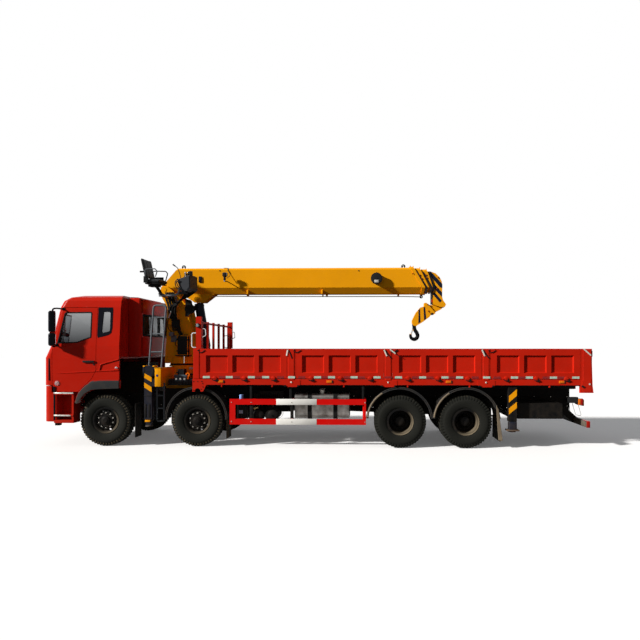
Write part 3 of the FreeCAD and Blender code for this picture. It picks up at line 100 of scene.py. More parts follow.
def seen_directly(tree):
    """1 on rays that come from the camera, from a reflection or through glass, and 0 on the others."""
    path = add(tree, "LightPath")
    seen = add(tree, "Math", {0: path.outputs["Is Camera Ray"], 1: path.outputs["Is Glossy Ray"]},
               operation="MAXIMUM")
    seen = add(tree, "Math", {0: seen.outputs[0], 1: path.outputs["Is Transmission Ray"]},
               operation="MAXIMUM")
    return seen.outputs[0]


scene = bpy.context.scene
scene.view_settings.view_transform = "Standard"
front_axle_x = sum(corner.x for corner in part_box("wheel_1_left")) / 2

camera_data = bpy.data.cameras.new("camera")
camera_data.lens = 29.5
camera_data.sensor_width = 36
camera_data.shift_x = -0.0594
camera_data.shift_y = 0.0438
camera_data.clip_end = 200
camera = bpy.data.objects.new("camera", camera_data)
behind_axle, out_left, eye_height, yaw = 5.623, 12.061, 2.068, math.radians(1.55)
camera.location = (front_axle_x + behind_axle, -out_left, eye_height)
camera.rotation_euler = (math.pi / 2, 0, yaw)
scene.collection.objects.link(camera)
scene.camera = camera

world = bpy.data.worlds.new("studio")
world.use_nodes = True
world.node_tree.nodes.clear()
# the surround shows white, but lights the truck only faintly, so that the key lamp models its shapes
seen = seen_directly(world.node_tree)
surround = add(world.node_tree, "Background", {"Color": linear("#F4F7FB"), "Strength": 0.2})
shown = add(world.node_tree, "Background", {"Color": linear("#FFFFFF"), "Strength": 1.0})
blend = add(world.node_tree, "MixShader", {0: seen, 1: surround.outputs[0], 2: shown.outputs[0]})
add(world.node_tree, "OutputWorld", {"Surface": blend.outputs[0]})
scene.world = world

sun_data = bpy.data.lights.new("key", "SUN")
sun_data.energy = 6.2
sun_data.angle = math.radians(3.5)
sun_data.color = (1.0, 0.975, 0.94)
sun = bpy.data.objects.new("key", sun_data)
travel = np.array([0.78, 0.37, -0.40])
sun_height = math.acos(-travel[2] / np.linalg.norm(travel))
sun.rotation_euler = (sun_height, 0, math.atan2(travel[1], travel[0]) - math.pi / 2)
scene.collection.objects.link(sun)

floor_mesh = bpy.data.meshes.new("studio_floor")
FLOOR_REACH = 90
corners = [(x * FLOOR_REACH, y * FLOOR_REACH, 0) for x, y in ((-1, -1), (1, -1), (1, 1), (-1, 1))]
floor_mesh.from_pydata(corners, [], [(0, 1, 2, 3)])
floor = bpy.data.objects.new("studio_floor", floor_mesh)
scene.collection.objects.link(floor)
pale, tree, shader = material("pale_floor_paint", Roughness=0.9, Specular_IOR_Level=0.1)
# the floor shows nearly white, but throws back little light on the truck's underside
seen = seen_directly(tree)
paint = add(tree, "Mix", {"Factor": seen, "A": linear("#444444"), "B": linear("#F9F9F9")},
            data_type="RGBA")
tree.links.new(paint.outputs["Result"], shader.inputs["Base Color"])
shader.inputs["Emission Color"].default_value = linear("#FFFFFF")
lift = add(tree, "Math", {0: seen, 1: 0.10}, operation="MULTIPLY")
tree.links.new(lift.outputs[0], shader.inputs["Emission Strength"])
floor_mesh.materials.append(pale)

# ------------------------------------------------------------------ tyres
# Radial truck tyres of carbon-black rubber, moulded with lugs across the shoulders and ribs round
# the middle of the tread; dried mud lies on the lugs and thins out down the side walls, and a faint
# painted highlight ring lies on each wall's bulge.
def surface(points, around=False, along=False, caps=False):
    """Quads over a grid of points (row, column, xyz). It may close round its columns or along its rows,
    and caps close its first and last row."""
    rows, columns = points.shape[:2]
    index = np.arange(rows * columns).reshape(rows, columns)
    ends = [index[:1, ::-1], index[-1:]] if caps else []
    if around:
        index = np.concatenate([index, index[:, :1]], 1)
    if along:
        index = np.concatenate([index, index[:1]], 0)
    quads = np.stack([index[:-1, :-1], index[:-1, 1:], index[1:, 1:], index[1:, :-1]], -1)
    return points.reshape(-1, 3), [quads.reshape(-1, 4)] + ends


def piece(name, forms, finish, body, crisp=32):
    """One object from several (points, blocks of faces) forms, that rides on a body. The forms measure X
    back from the first axle. Edges that turn by more than crisp degrees stay sharp."""
    corners, faces, start = [], [], 0
    for points, blocks in forms:
        corners.append(points)
        for block in blocks:
            faces += (np.asarray(block) + start).tolist()
        start += len(points)
    mesh = bpy.data.meshes.new(name)
    mesh.from_pydata((np.concatenate(corners) + (front_axle_x, 0, 0)).tolist(), [], faces)
    cleaned = bmesh.new()
    cleaned.from_mesh(mesh)
    bmesh.ops.remove_doubles(cleaned, verts=cleaned.verts, dist=2e-5)
    bmesh.ops.dissolve_degenerate(cleaned, edges=cleaned.edges, dist=1e-5)
    bmesh.ops.recalc_face_normals(cleaned, faces=cleaned.faces)
    cleaned.to_mesh(mesh)
    cleaned.free()
    mesh.shade_smooth()
    mesh.set_sharp_from_angle(angle=math.radians(crisp))
    mesh.materials.append(finish)
    obj = bpy.data.objects.new(name, mesh)
    scene.collection.objects.link(obj)
    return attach(obj, body)


SIDES = (("left", 1), ("right", -1))


def flipped(forms, flip):
    """The forms as they are for 1, or mirrored across the truck's middle plane for -1."""
    return [(points * (1, flip, 1), blocks) for points, blocks in forms]


def both(forms):
    """The forms and their mirror images across the truck's middle plane."""
    return forms + flipped(forms, -1)


LUGS = 52


def tyre_form(centre, width, radius):
    """A tyre as a closed grid: the profile's (offset, radius) points are carried round the axle, four
    columns to a lug. On the shoulders the radius is full for columns 1 and 2 and less for 0 and 3, so
    each lug has steep walls; round ribs and grooves alternate across the middle."""
    tread, groove = 0.86 * width / 2, 0.015
    crown = radius - 0.006 * np.array([1, 0.5, 0.2, 0, 0, 0, 0, 0, 0, 0.2, 0.5, 1])
    across = tread * np.array([-1, -0.72, -0.66, -0.36, -0.30, -0.05, 0.05, 0.30, 0.36, 0.66, 0.72, 1])
    sunk = np.array([0, 0, 1, 1, 0, 0, 0, 0, 1, 1, 0, 0])
    crown = crown - groove * sunk
    lug_depth = 0.014 * np.array([1, 1, 1, 0.3, 0, 0, 0, 0, 0.3, 1, 1, 1])
    half = width / 2
    wall = np.array([(0.36, 0.262), (0.37, 0.281), (0.40, 0.296), (0.415, 0.300), (0.435, 0.318),
                     (0.475, 0.352), (0.497, 0.392), (0.5, 0.420), (0.492, 0.455), (0.484, 0.458),
                     (0.478, 0.486), (0.462, 0.505)]) * (width, 1)
    wall_lug = np.where(wall[:, 1] > 0.48, 0.010, 0.0)
    wall_step = np.where(wall[:, 1] > 0.47, 0.009, 0.0)
    offset = np.concatenate([-wall[:, 0], across, wall[::-1, 0]])
    level = np.concatenate([wall[:, 1], crown, wall[::-1, 1]])
    depth = np.concatenate([wall_lug, lug_depth, wall_lug[::-1]])
    step = np.concatenate([wall_step, 0 * crown, -wall_step[::-1]])
    fraction = np.array([0.0, 0.10, 0.56, 0.66])
    turn = (np.arange(LUGS)[:, None] + fraction).ravel() * 2 * math.pi / LUGS
    low = np.tile([1, 0, 0, 1], LUGS)
    lean = 0.10 * np.sin(math.pi * offset / half) * 2 * math.pi / LUGS
    angle = turn[:, None] + lean
    distance = level - low[:, None] * depth
    points = np.stack([centre[0] + distance * np.cos(angle), centre[1] + offset + low[:, None] * step,
                       centre[2] + distance * np.sin(angle)], -1)
    return surface(points, around=True, along=True)


def tyre_finish():
    """Vulcanised rubber: near black, with dried mud on the lugs and a faint painted highlight on the walls'
    bulge, both from the mesh's own mud and sheen value.
    """
    finish, tree, shader = material("vulcanised_rubber", Roughness=0.86, Specular_IOR_Level=0.12)
    place = add(tree, "TexCoord").outputs["Object"]
    mud_and_sheen = add(tree, "Attribute", attribute_name="mud_and_sheen").outputs["Fac"]
    # clods of about 30 mm
    clods = add(tree, "TexNoise", {"Vector": place, "Scale": 34.0, "Detail": 6.0, "Roughness": 0.62})
    spread = add(tree, "Math", {0: clods.outputs["Fac"], 1: 0.52, 2: mud_and_sheen}, operation="MULTIPLY_ADD")
    spread = add(tree, "MapRange", {"Value": spread.outputs[0], "From Min": 0.72, "From Max": 1.12})
    rubber = ramp(tree, clods.outputs["Fac"], "#111210", "#22221D")
    colour = add(tree, "Mix", {"Factor": spread.outputs[0], "A": rubber, "B": linear("#85745A")},
                 data_type="RGBA")
    tree.links.new(colour.outputs["Result"], shader.inputs["Base Color"])
    relieve(tree, shader, clods.outputs["Fac"], 0.25, 0.004)
    return finish


def mark(obj, name, centre, rule):
    """Stores a value on each point of a wheel, from a rule of its distance from the axle in metres and of
    its cosine and sine round it."""
    points = np.empty(len(obj.data.vertices) * 3)
    obj.data.vertices.foreach_get("co", points)
    x, _, z = (points.reshape(-1, 3) - centre).T
    radius = np.maximum(np.hypot(x, z), 1e-6)
    layer = obj.data.attributes.new(name, "FLOAT", "POINT")
    layer.data.foreach_set("value", rule(radius, x / radius, z / radius).astype(np.float32))


def mud_and_sheen(radius, cosine, sine, start=0.482, most=0.34):
    """Mud and painted sheen on a tyre: 0.12 of mud on the wall, a faint painted highlight ring on its bulge,
    and most mud on the lugs beyond a start, where the angle round the axle lies in the first three fifths
    of a lug's share."""
    share = (np.arctan2(sine, cosine) * LUGS / (2 * math.pi)) % 1.0
    on_lug = (share > 0.03) & (share < 0.63)
    # painted highlight: a faint pale ring round the wall's bulge, 0.47 m from the axle
    bulge = 0.16 * np.exp(-((radius - 0.470) / 0.03) ** 2)
    return 0.12 + bulge + np.where(radius > start, np.where(on_lug, most, 0.03), 0.0)


def thin_mud_and_sheen(radius, cosine, sine):
    """Mud and painted sheen on the driven wheels' tyres: the mud is a narrow edge on the lugs' outer ends,
    the painted highlight ring is as on the steered wheels.
    """
    return mud_and_sheen(radius, cosine, sine, start=0.508, most=0.36)


def wheel_parts(node):
    """The loose parts of a wheel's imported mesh, split into the rim with its hub and the tyres' boxes."""
    copy = bpy.data.objects.new(node + "_rim", nodes[node].data.copy())
    scene.collection.objects.link(copy)
    form = bmesh.new()
    form.from_mesh(copy.data)
    bmesh.ops.remove_doubles(form, verts=form.verts, dist=1e-5)
    form.to_mesh(copy.data)
    form.free()
    bpy.ops.object.select_all(action="DESELECT")
    copy.select_set(True)
    bpy.context.view_layer.objects.active = copy
    bpy.ops.mesh.separate(type="LOOSE")
    rims, tyres = [], []
    for part in bpy.context.selected_objects:
        low, high = np.array(part.bound_box).min(0), np.array(part.bound_box).max(0)
        if high[2] - low[2] > 1.0:
            tyres.append((low, high))
            bpy.data.objects.remove(part)
        else:
            rims.append(part)
    return rims, tyres


def spray(finish, *starts):
    """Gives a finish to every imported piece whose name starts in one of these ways."""
    for name in nodes:
        if name.startswith(starts):
            nodes[name].material_slots[0].material = finish


def steered(node):
    """Whether a wheel is on one of the two steered axles."""
    return node[len("wheel_")] in "12"


TYRE_RADIUS = 0.5425
rubber = tyre_finish()
rim_parts = {}
for axle in (1, 2, 3, 4):
    for side in ("left", "right"):
        node = f"wheel_{axle}_{side}"
        rim_parts[node], boxes = wheel_parts(node)
        forms = []
        for low, high in boxes:
            centre = (low + high) / 2
            forms.append(tyre_form(centre - (front_axle_x, 0, 0), high[1] - low[1], TYRE_RADIUS))
        tyres = piece(f"tyres_{axle}_{side}", forms, rubber, node, crisp=40)
        mark(tyres, "mud_and_sheen", centre, mud_and_sheen if steered(node) else thin_mud_and_sheen)
        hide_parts(node)

# ------------------------------------------------------------------ rims and hubs
# Pressed steel rims bolted to cast hubs, sprayed black; hexagon nuts on ten studs hold each wheel,
# and a pale band lies inside the rims: road dust settled low, and towards the back a painted sunlit
# crescent.
def shade(hex_colour, factor):
    """A colour made lighter or darker by a factor on its linear channels."""
    return (*np.minimum(np.array(linear(hex_colour)[:3]) * factor, 1.0), 1.0)


def enamel(name, colour, grime="#6B5A48", height=1.4, dirt=0.5, vary=0.12, **surface):
    """Sprayed enamel: its shade drifts by vary over about a metre, dust thickens downwards from a height
    in metres, and small waves of about 12 mm make the orange peel."""
    surface = {"Roughness": 0.4, "Specular_IOR_Level": 0.04, **surface}
    finish, tree, shader = material(name, **surface)
    place = add(tree, "TexCoord").outputs["Object"]
    broad = add(tree, "TexNoise", {"Vector": place, "Scale": 1.1, "Detail": 4.0, "Roughness": 0.6})
    clouds = add(tree, "TexNoise", {"Vector": place, "Scale": 7.0, "Detail": 8.0, "Roughness": 0.68})
    tone = ramp(tree, broad.outputs["Fac"], shade(colour, 1 - vary), shade(colour, 1 + vary), 0.3, 0.7)
    level = add(tree, "SeparateXYZ", {0: place}).outputs["Z"]
    near_road = add(tree, "MapRange", {"Value": level, "From Min": height, "From Max": 0.1})
    patch = add(tree, "MapRange", {"Value": clouds.outputs["Fac"], "From Min": 0.35, "From Max": 0.72})
    dusty = add(tree, "Math", {0: near_road.outputs[0], 1: 0.82, 2: 0.14}, operation="MULTIPLY_ADD")
    dusty = add(tree, "Math", {0: dusty.outputs[0], 1: patch.outputs[0]}, operation="MULTIPLY")
    dusty = add(tree, "Math", {0: dusty.outputs[0], 1: dirt}, operation="MULTIPLY")
    mixed = add(tree, "Mix", {"Factor": dusty.outputs[0], "A": tone, "B": linear(grime)},
                data_type="RGBA")
    tree.links.new(mixed.outputs["Result"], shader.inputs["Base Color"])
    dull = add(tree, "MapRange", {"Value": dusty.outputs[0], "To Min": surface["Roughness"],
                                  "To Max": 0.85})
    tree.links.new(dull.outputs[0], shader.inputs["Roughness"])
    peel = add(tree, "TexNoise", {"Vector": place, "Scale": 80.0, "Detail": 2.0})
    relieve(tree, shader, peel.outputs["Fac"], 0.05, 0.002)
    return finish


def bare(name, dark, light, scale, **surface):
    """Bare metal: it varies from dark to light in stains of about 1 / scale metres, and its polish with
    them."""
    finish, tree, shader = material(name, **surface)
    place = add(tree, "TexCoord").outputs["Object"]
    stain = add(tree, "TexNoise", {"Vector": place, "Scale": scale, "Detail": 7.0, "Roughness": 0.65})
    tone = ramp(tree, stain.outputs["Fac"], dark, light, 0.32, 0.68)
    tree.links.new(tone, shader.inputs["Base Color"])
    polish = add(tree, "MapRange", {"Value": stain.outputs["Fac"], "From Min": 0.3, "From Max": 0.7,
                                    "To Min": surface["Roughness"] + 0.1, "To Max": surface["Roughness"]})
    tree.links.new(polish.outputs[0], shader.inputs["Roughness"])
    return finish


def turned(profile, centre, axis="y", sides=32, ring=False):
    """A profile of (offset, radius) points carried round a line through centre: each point is
    centre + offset along the line + radius (cos a, sin a) across it. A ring's profile closes on itself."""
    along = np.eye(3)["xyz".index(axis)]
    one, two = np.roll(along, 1), np.roll(along, 2)
    profile = np.array(profile, float)
    a = np.arange(sides) * 2 * math.pi / sides
    across = np.cos(a)[:, None] * one + np.sin(a)[:, None] * two
    points = np.array(centre) + profile[:, 0, None, None] * along + profile[:, 1, None, None] * across
    return surface(points, around=True, along=ring, caps=not ring)


def solid(profile, centre, axis="y", sides=32):
    """A profile carried round a line, closed by flat ends that run in to the line."""
    return turned([(profile[0][0], 0.0), *profile, (profile[-1][0], 0.0)], centre, axis, sides)


def disc(low, high, radius, centre, axis="y", sides=32):
    """A plain round bar between two offsets along a line through centre."""
    return solid([(low, radius), (high, radius)], centre, axis, sides)


def hoop(low, high, inner, outer, centre, axis="y", sides=32):
    """A ring of square section between two offsets and two radii."""
    return turned([(low, inner), (low, outer), (high, outer), (high, inner)], centre, axis, sides,
                  ring=True)


def repeat(form, places):
    """Copies of one small form, moved to each of the places."""
    points, blocks = form
    places = np.array(places, float).reshape(-1, 3)
    shift = (np.arange(len(places)) * len(points))[:, None, None]
    return ((places[:, None] + points).reshape(-1, 3),
            [(np.asarray(b)[None] + shift).reshape(-1, np.asarray(b).shape[1]) for b in blocks])


def circle(centre, radius, count, start=0.0):
    """Evenly spaced places round an axle, in the plane across it."""
    a = (np.arange(count) + start) * 2 * math.pi / count
    return np.array(centre) + np.stack([radius * np.cos(a), 0 * a, radius * np.sin(a)], -1)


rim_black = enamel("rim_enamel", "#101112", grime="#5B4E40", height=0.9, dirt=0.3, Roughness=0.42)


def dust_and_sunlit_crescent(radius, cosine, sine):
    """Dust and a painted sunlit crescent in a rim: it lies on the barrel, further out than 0.23 m, and
    thickens down, as settled dust, and backwards, as painted light where the key lamp reaches.
    """
    # the down term is settled dust; the backward term paints the sunlit crescent on the barrel
    return np.clip((radius - 0.232) / 0.012, 0, 1) * np.clip(0.05 - 0.45 * sine + 0.55 * cosine, 0, 0.7)


def faint_dust_and_sunlit_crescent(radius, cosine, sine):
    """Dust and painted sunlit crescent in a steered wheel's rim: a third of a driven wheel's."""
    return dust_and_sunlit_crescent(radius, cosine, sine) / 3


tree = rim_black.node_tree
shader = next(node for node in tree.nodes if node.type == "BSDF_PRINCIPLED")
# the pale band over the rim's black: dust, and a painted sunlit crescent
dust_and_lit_band = add(tree, "Attribute", attribute_name="dust_and_lit_band").outputs["Fac"]
under = shader.inputs["Base Color"].links[0].from_socket
dusted_and_lit = add(tree, "Mix", {"Factor": dust_and_lit_band, "A": under, "B": linear("#B5A488")}, data_type="RGBA")
tree.links.new(dusted_and_lit.outputs["Result"], shader.inputs["Base Color"])
nut_steel = bare("zinc_plated_steel", "#7E7A72", "#B9B6AE", 60.0, Metallic=0.6, Roughness=0.4)
NUT = [(0.0, 0.0), (0.0, 0.021), (0.004, 0.021), (0.004, 0.0178), (0.026, 0.0178), (0.029, 0.0150),
       (0.029, 0.0095), (0.046, 0.0095), (0.048, 0.0075), (0.048, 0.0)]
for node, parts in rim_parts.items():
    side = -1 if node.endswith("left") else 1
    for number, part in enumerate(parts):
        part.name = f"{node}_rim_{number}"
        part.data.materials.clear()
        part.data.materials.append(rim_black)
        part.data.shade_smooth()
        part.data.set_sharp_from_angle(angle=math.radians(32))
        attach(part, node)
        mark(part, "dust_and_lit_band", (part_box(node)[0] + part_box(node)[1]) / 2, faint_dust_and_sunlit_crescent if steered(node)
             else dust_and_sunlit_crescent)
    low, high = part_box(node)
    x, z = (low.x + high.x) / 2 - front_axle_x, (low.z + high.z) / 2
    front = steered(node)
    face_y = 1.098 if front else 0.969
    ring_r = 0.156 if front else 0.142
    nut_form = turned([(side * offset, radius) for offset, radius in NUT], (0, 0, 0), sides=6)
    stud_nuts = repeat(nut_form, circle((x, side * face_y, z), ring_r, 10, 0.5))
    # the driven wheels' nuts take the black rim enamel, not plated steel: painted shade for the deep dish
    piece(f"{node}_nuts", [stud_nuts], nut_steel if front else rim_black, node, crisp=25)
    if front:
        flange = [(1.088, 0.085), (1.088, 0.152), (1.122, 0.149), (1.128, 0.143), (1.128, 0.085)]
        cap = [(1.150, 0.0), (1.150, 0.060), (1.172, 0.052), (1.178, 0.044), (1.178, 0.0)]
        hub_forms = [turned([(side * y, r) for y, r in flange], (x, 0, z), sides=40, ring=True),
                     turned([(side * y, r) for y, r in cap], (x, 0, z), sides=28)]
        piece(f"{node}_hub", hub_forms, rim_black, node)

# ------------------------------------------------------------------ chassis, axles and what hangs on them
# Rolled and pressed steel sprayed black and gone dusty; the axles are cast, and the battery box, air
# tanks and silencer hang from the rails on straps.
chassis_black = enamel("chassis_enamel", "#0D0E0F", grime="#4A4036", height=1.5, dirt=0.45,
                       Roughness=0.55)
cast_iron = enamel("cast_iron", "#151412", grime="#5C4C3C", height=1.3, dirt=0.8, Roughness=0.75)
spray(chassis_black, "chassis_frame", "side_equipment", "rear_underrun", "rear_outrigger")
spray(cast_iron, "front_axles", "rear_axles", "engine", "knuckle")

# ------------------------------------------------------------------ mudguards
# Black moulded polypropylene arches and rubber flaps, greyed by road dust.
guard_plastic = enamel("moulded_polypropylene", "#131415", grime="#6E6457", height=1.4, dirt=0.4,
                       Roughness=0.6)
spray(guard_plastic, "mudguards")

# ------------------------------------------------------------------ fuel tank
# Brushed aluminium sheet with welded ends, on two black steel straps, with a plated filler cap.
tank_metal, tree, shader = material("brushed_aluminium", Metallic=0.85, Roughness=0.42)
place = add(tree, "TexCoord").outputs["Object"]
# the brush marks run along the tank: long in X, about 3 mm apart up the side
drawn = add(tree, "Mapping", {"Vector": place, "Scale": (1.2, 60.0, 330.0)})
marks = add(tree, "TexNoise", {"Vector": drawn.outputs[0], "Scale": 1.0, "Detail": 4.0})
stain = add(tree, "TexNoise", {"Vector": place, "Scale": 5.0, "Detail": 6.0, "Roughness": 0.7})
tone = ramp(tree, stain.outputs["Fac"], "#56524D", "#8E8B87", 0.35, 0.7)
tree.links.new(tone, shader.inputs["Base Color"])
relieve(tree, shader, marks.outputs["Fac"], 0.15, 0.001)
spray(tank_metal, "fuel_tank")

# ------------------------------------------------------------------ side guards
# Box-section rails between the wheels, painted signal red with a white stretch in the middle.
guard_red = enamel("side_guard_enamel", "#CC0B09", height=1.2, dirt=0.15, vary=0.06, Roughness=0.5)
spray(guard_red, "side_guards")

# ------------------------------------------------------------------ bumper, steps and cab shell
# Pressed steel panels under glossy red enamel, the deepest gloss on the truck.
cab_red = enamel("cab_enamel", "#B21C0D", height=1.3, dirt=0.25, vary=0.08, Roughness=0.22,
                 Specular_IOR_Level=0.03)
spray(cab_red, "front_bumper", "door_", "cab_")

# ------------------------------------------------------------------ window glass
# Tinted safety glass, its colour painted lighter towards the top as a painted sky reflection.
glass, tree, shader = material("tinted_glass_painted_sky", Metallic=0.9, Roughness=0.05, IOR=1.5, Alpha=0.92)
place = add(tree, "TexCoord").outputs["Object"]
level = add(tree, "SeparateXYZ", {0: place}).outputs["Z"]
# painted sky reflection: dark grey at 2.15 m, light grey from 2.85 m up
painted_sky_fade = add(tree, "MapRange", {"Value": level, "From Min": 2.15, "From Max": 2.85})
tree.links.new(ramp(tree, painted_sky_fade.outputs[0], "#3C3E40", "#A5A7A8"), shader.inputs["Base Color"])
spray(glass, "cab_glass", "door_glass")

# ------------------------------------------------------------------ load bed
# Welded steel bed sprayed a duller red than the cab, a little dusty and scuffed.
bed_red = enamel("bed_enamel", "#B81D0B", height=1.5, dirt=0.25, vary=0.1, Roughness=0.5)
spray(bed_red, "bed_frame", "tailgate", "gate_")

# ------------------------------------------------------------------ crane
# The crane is sprayed traffic yellow, its lift cylinder and stabiliser legs dark navy.
crane_yellow = enamel("crane_enamel", "#E89B0E", height=1.7, dirt=0.25, vary=0.06, Specular_IOR_Level=0.0)
navy = enamel("cylinder_enamel", "#1B1F2A", height=1.8, dirt=0.3, vary=0.1)
plated = bare("hard_chromed_steel", "#B9BBBD", "#D2D4D6", 14.0, Metallic=1.0, Roughness=0.1)
station_grey = enamel("station_enamel", "#3A3C40", height=1.0, dirt=0.1)
spray(crane_yellow, "boom_", "crane_base", "slewing_column", "hook_block")
spray(navy, "lift_barrel", "outrigger_", "rear_leg")
spray(plated, "lift_rod")
spray(station_grey, "operator_station")

# ------------------------------------------------------------------ air tanks, battery box and hoses
# Spun steel tank ends in their straps, a ribbed battery lid, and rubber air hoses clipped along the rail.
def block(low, high, edge=0.004, steps=2):
    """A block with round edges: each point is the inner corner nearest to its direction, plus edge times
    the direction (cos b cos a, cos b sin a, sin b)."""
    low, high = np.array(low, float), np.array(high, float)
    centre, half = (low + high) / 2, (high - low) / 2
    edge = min(edge, *(half * 0.98))
    part = np.linspace(0, math.pi / 2, steps + 1)
    a = (np.arange(4)[:, None] * math.pi / 2 + part).ravel()
    quarter = np.repeat(np.arange(4), steps + 1)
    sign_x = np.array([1, -1, -1, 1])[quarter]
    sign_y = np.array([1, 1, -1, -1])[quarter]
    b = np.concatenate([-part[::-1], part])
    sign_z = np.repeat([-1, 1], steps + 1)
    across = np.stack([np.cos(b)[:, None] * np.cos(a), np.cos(b)[:, None] * np.sin(a), np.sin(b)[:, None]
                       + 0 * a], -1)
    corner = np.stack([np.broadcast_to(sign_x, across.shape[:2]),
                       np.broadcast_to(sign_y, across.shape[:2]),
                       np.broadcast_to(sign_z[:, None], across.shape[:2])], -1)
    return surface(centre + corner * (half - edge) + edge * across, around=True, caps=True)


def bent(points, radius, steps=6):
    """The path of a bent tube: straight runs, and at each corner an arc that leaves both runs at the same
    distance c from it, c = radius tan(h) but at most 0.45 of a run, where h is half the turn. The arc is
    P + R ((u2 - u1) / |u2 - u1| / cos h) - R (that way) turned from one run's normal to the other's."""
    p = np.array(points, float)
    run = np.diff(p, axis=0)
    length = np.linalg.norm(run, axis=1)
    ahead = run / length[:, None]
    before, after = ahead[:-1], ahead[1:]
    half = np.arccos(np.clip(np.sum(before * after, 1), -1, 1))[:, None] / 2
    cut = np.minimum(radius * np.tan(half), 0.45 * np.minimum(length[:-1], length[1:])[:, None])
    bend = cut / np.tan(half)
    middle = (after - before) / np.linalg.norm(after - before, axis=1)[:, None]
    along = (after + before) / np.linalg.norm(after + before, axis=1)[:, None]
    centre = p[1:-1] + middle * bend / np.cos(half)
    turn = np.linspace(-1, 1, steps + 1)[None, :, None] * half[:, None]
    arcs = centre[:, None] + bend[:, None] * (along[:, None] * np.sin(turn) - middle[:, None]
                                              * np.cos(turn))
    return np.concatenate([p[:1], arcs.reshape(-1, 3), p[-1:]])


def flowing(points, steps=7):
    """A curve through every point: 0.5 (2B + (C-A) t + (2A-5B+4C-D) t^2 + (3B-A-3C+D) t^3) from B to C."""
    p = np.array(points, float)
    p = np.concatenate([2 * p[:1] - p[1:2], p, 2 * p[-1:] - p[-2:-1]])
    a, b, c, d = (q[:, None] for q in (p[:-3], p[1:-2], p[2:-1], p[3:]))
    t = (np.arange(steps) / steps)[None, :, None]
    curve = 0.5 * (2 * b + (c - a) * t + (2 * a - 5 * b + 4 * c - d) * t ** 2 + (3 * b - a - 3 * c + d)
                   * t ** 3)
    return np.concatenate([curve.reshape(-1, 3), p[-2:-1]])


def tube(path, radius, sides=10):
    """A round bar along a path: rings of that radius in the plane of u = t x n and v = t x u, where t is
    the path's direction and n the direction that all of the path crosses most squarely."""
    path = np.array(path, float)
    t = np.gradient(path, axis=0)
    t /= np.linalg.norm(t, axis=1)[:, None]
    n = np.linalg.svd(t, full_matrices=True)[2][-1]
    u = np.cross(t, n)
    u /= np.linalg.norm(u, axis=1)[:, None]
    v = np.cross(t, u)
    a = np.arange(sides) * 2 * math.pi / sides
    radius = np.broadcast_to(radius, len(path))[:, None, None]
    ring = path[:, None] + radius * (np.cos(a)[:, None] * u[:, None] + np.sin(a)[:, None] * v[:, None])
    return surface(ring, around=True, caps=True)


def inward(outline, step):
    """A flat outline moved in by a step: each corner moves along the sum of its two edges' inward normals,
    over 1 + the cosine between them."""
    p = np.array(outline, float)
    area = np.sum(p[:, 0] * np.roll(p[:, 1], -1) - np.roll(p[:, 0], -1) * p[:, 1])
    ahead = np.roll(p, -1, 0) - p
    ahead /= np.linalg.norm(ahead, axis=1)[:, None]
    normal = np.stack([-ahead[:, 1], ahead[:, 0]], 1) * np.sign(area)
    before = np.roll(normal, 1, 0)
    return p + (normal + before) / (1 + np.sum(normal * before, 1))[:, None] * step


def plate(outline, axis, low, high, edge=0.0015):
    """An outline given thickness along an axis, from low to high, with narrow bevels."""
    p = np.array(outline, float)
    inset = inward(p, edge)
    rows = [(inset, low), (p, low + edge), (p, high - edge), (inset, high)]
    place = {"x": (1, 2, 0), "y": (0, 2, 1), "z": (0, 1, 2)}[axis]
    points = np.zeros((4, len(p), 3))
    for row, (shape, level) in enumerate(rows):
        points[row, :, place[0]], points[row, :, place[1]] = shape[:, 0], shape[:, 1]
        points[row, :, place[2]] = level
    return surface(points, around=True, caps=True)


black_steel = enamel("strap_enamel", "#141516", grime="#4C4238", height=1.3, dirt=0.4, Roughness=0.5)
hose_rubber = enamel("hose_rubber", "#121314", height=1.2, dirt=0.3, Roughness=0.65)
BOLT = turned([(0, 0.011), (-0.007, 0.011), (-0.009, 0.009), (-0.009, 0.0)], (0, 0, 0), sides=6)
tank_ends, tank_straps = [], []
for x in (3.232, 3.545):
    dome = [(-1.120, 0.122), (-1.129, 0.119), (-1.143, 0.095), (-1.151, 0.055), (-1.153, 0.0)]
    tank_ends.append(turned([(-1.11, 0.0), (-1.11, 0.122)] + dome, (x, 0, 0.65), sides=40))
    tank_ends.append(solid([(-1.150, 0.016), (-1.168, 0.016), (-1.170, 0.012)], (x - 0.02, 0, 0.66),
                           sides=6))
    tank_straps += [hoop(y, y + 0.03, 0.121, 0.126, (x, 0, 0.65), sides=40) for y in (-1.07, -0.62)]
piece("air_tank_ends", tank_ends, chassis_black, "truck")
piece("air_tank_straps", tank_straps, black_steel, "truck")
low, high = (2.786, -1.134, 0.586), (3.019, -0.516, 0.904)
lid = [block((low[0], low[1], 0.862), (high[0], high[1], 0.912), 0.012)]
lid += [block((low[0] + 0.03 + 0.05 * i, low[1] - 0.004, 0.61),
              (low[0] + 0.045 + 0.05 * i, low[1] + 0.01, 0.85), 0.004) for i in range(4)]
lid.append(disc(0.905, 1.000, 0.030, (2.863, -1.060, 0), axis="z", sides=20))
lid.append(block((3.100, -0.900, 0.960), (3.654, -0.620, 1.085), 0.012))
lid += [block((3.115 + 0.045 * i, -0.912, 0.962), (3.133 + 0.045 * i, -0.620, 1.108), 0.005)
        for i in range(12)]
piece("battery_box_lid", lid, guard_plastic, "truck")
cap_blue = enamel("filler_cap_plastic", "#7FA0D8", height=1.3, dirt=0.2, vary=0.04)
blue_cap = solid([(0.998, 0.040), (1.010, 0.043), (1.070, 0.043), (1.088, 0.036)], (2.863, -1.060, 0),
                 axis="z", sides=24)
piece("fluid_filler_cap", [blue_cap], cap_blue, "truck")
pale_blue = enamel("blank_plate_enamel", "#B4BDD0", height=1.0, dirt=0.2, vary=0.04)
piece("battery_box_blank_plate", [block((2.830, -1.1405, 0.696), (2.914, -1.1360, 0.764), 0.0015)],
      pale_blue, "truck")
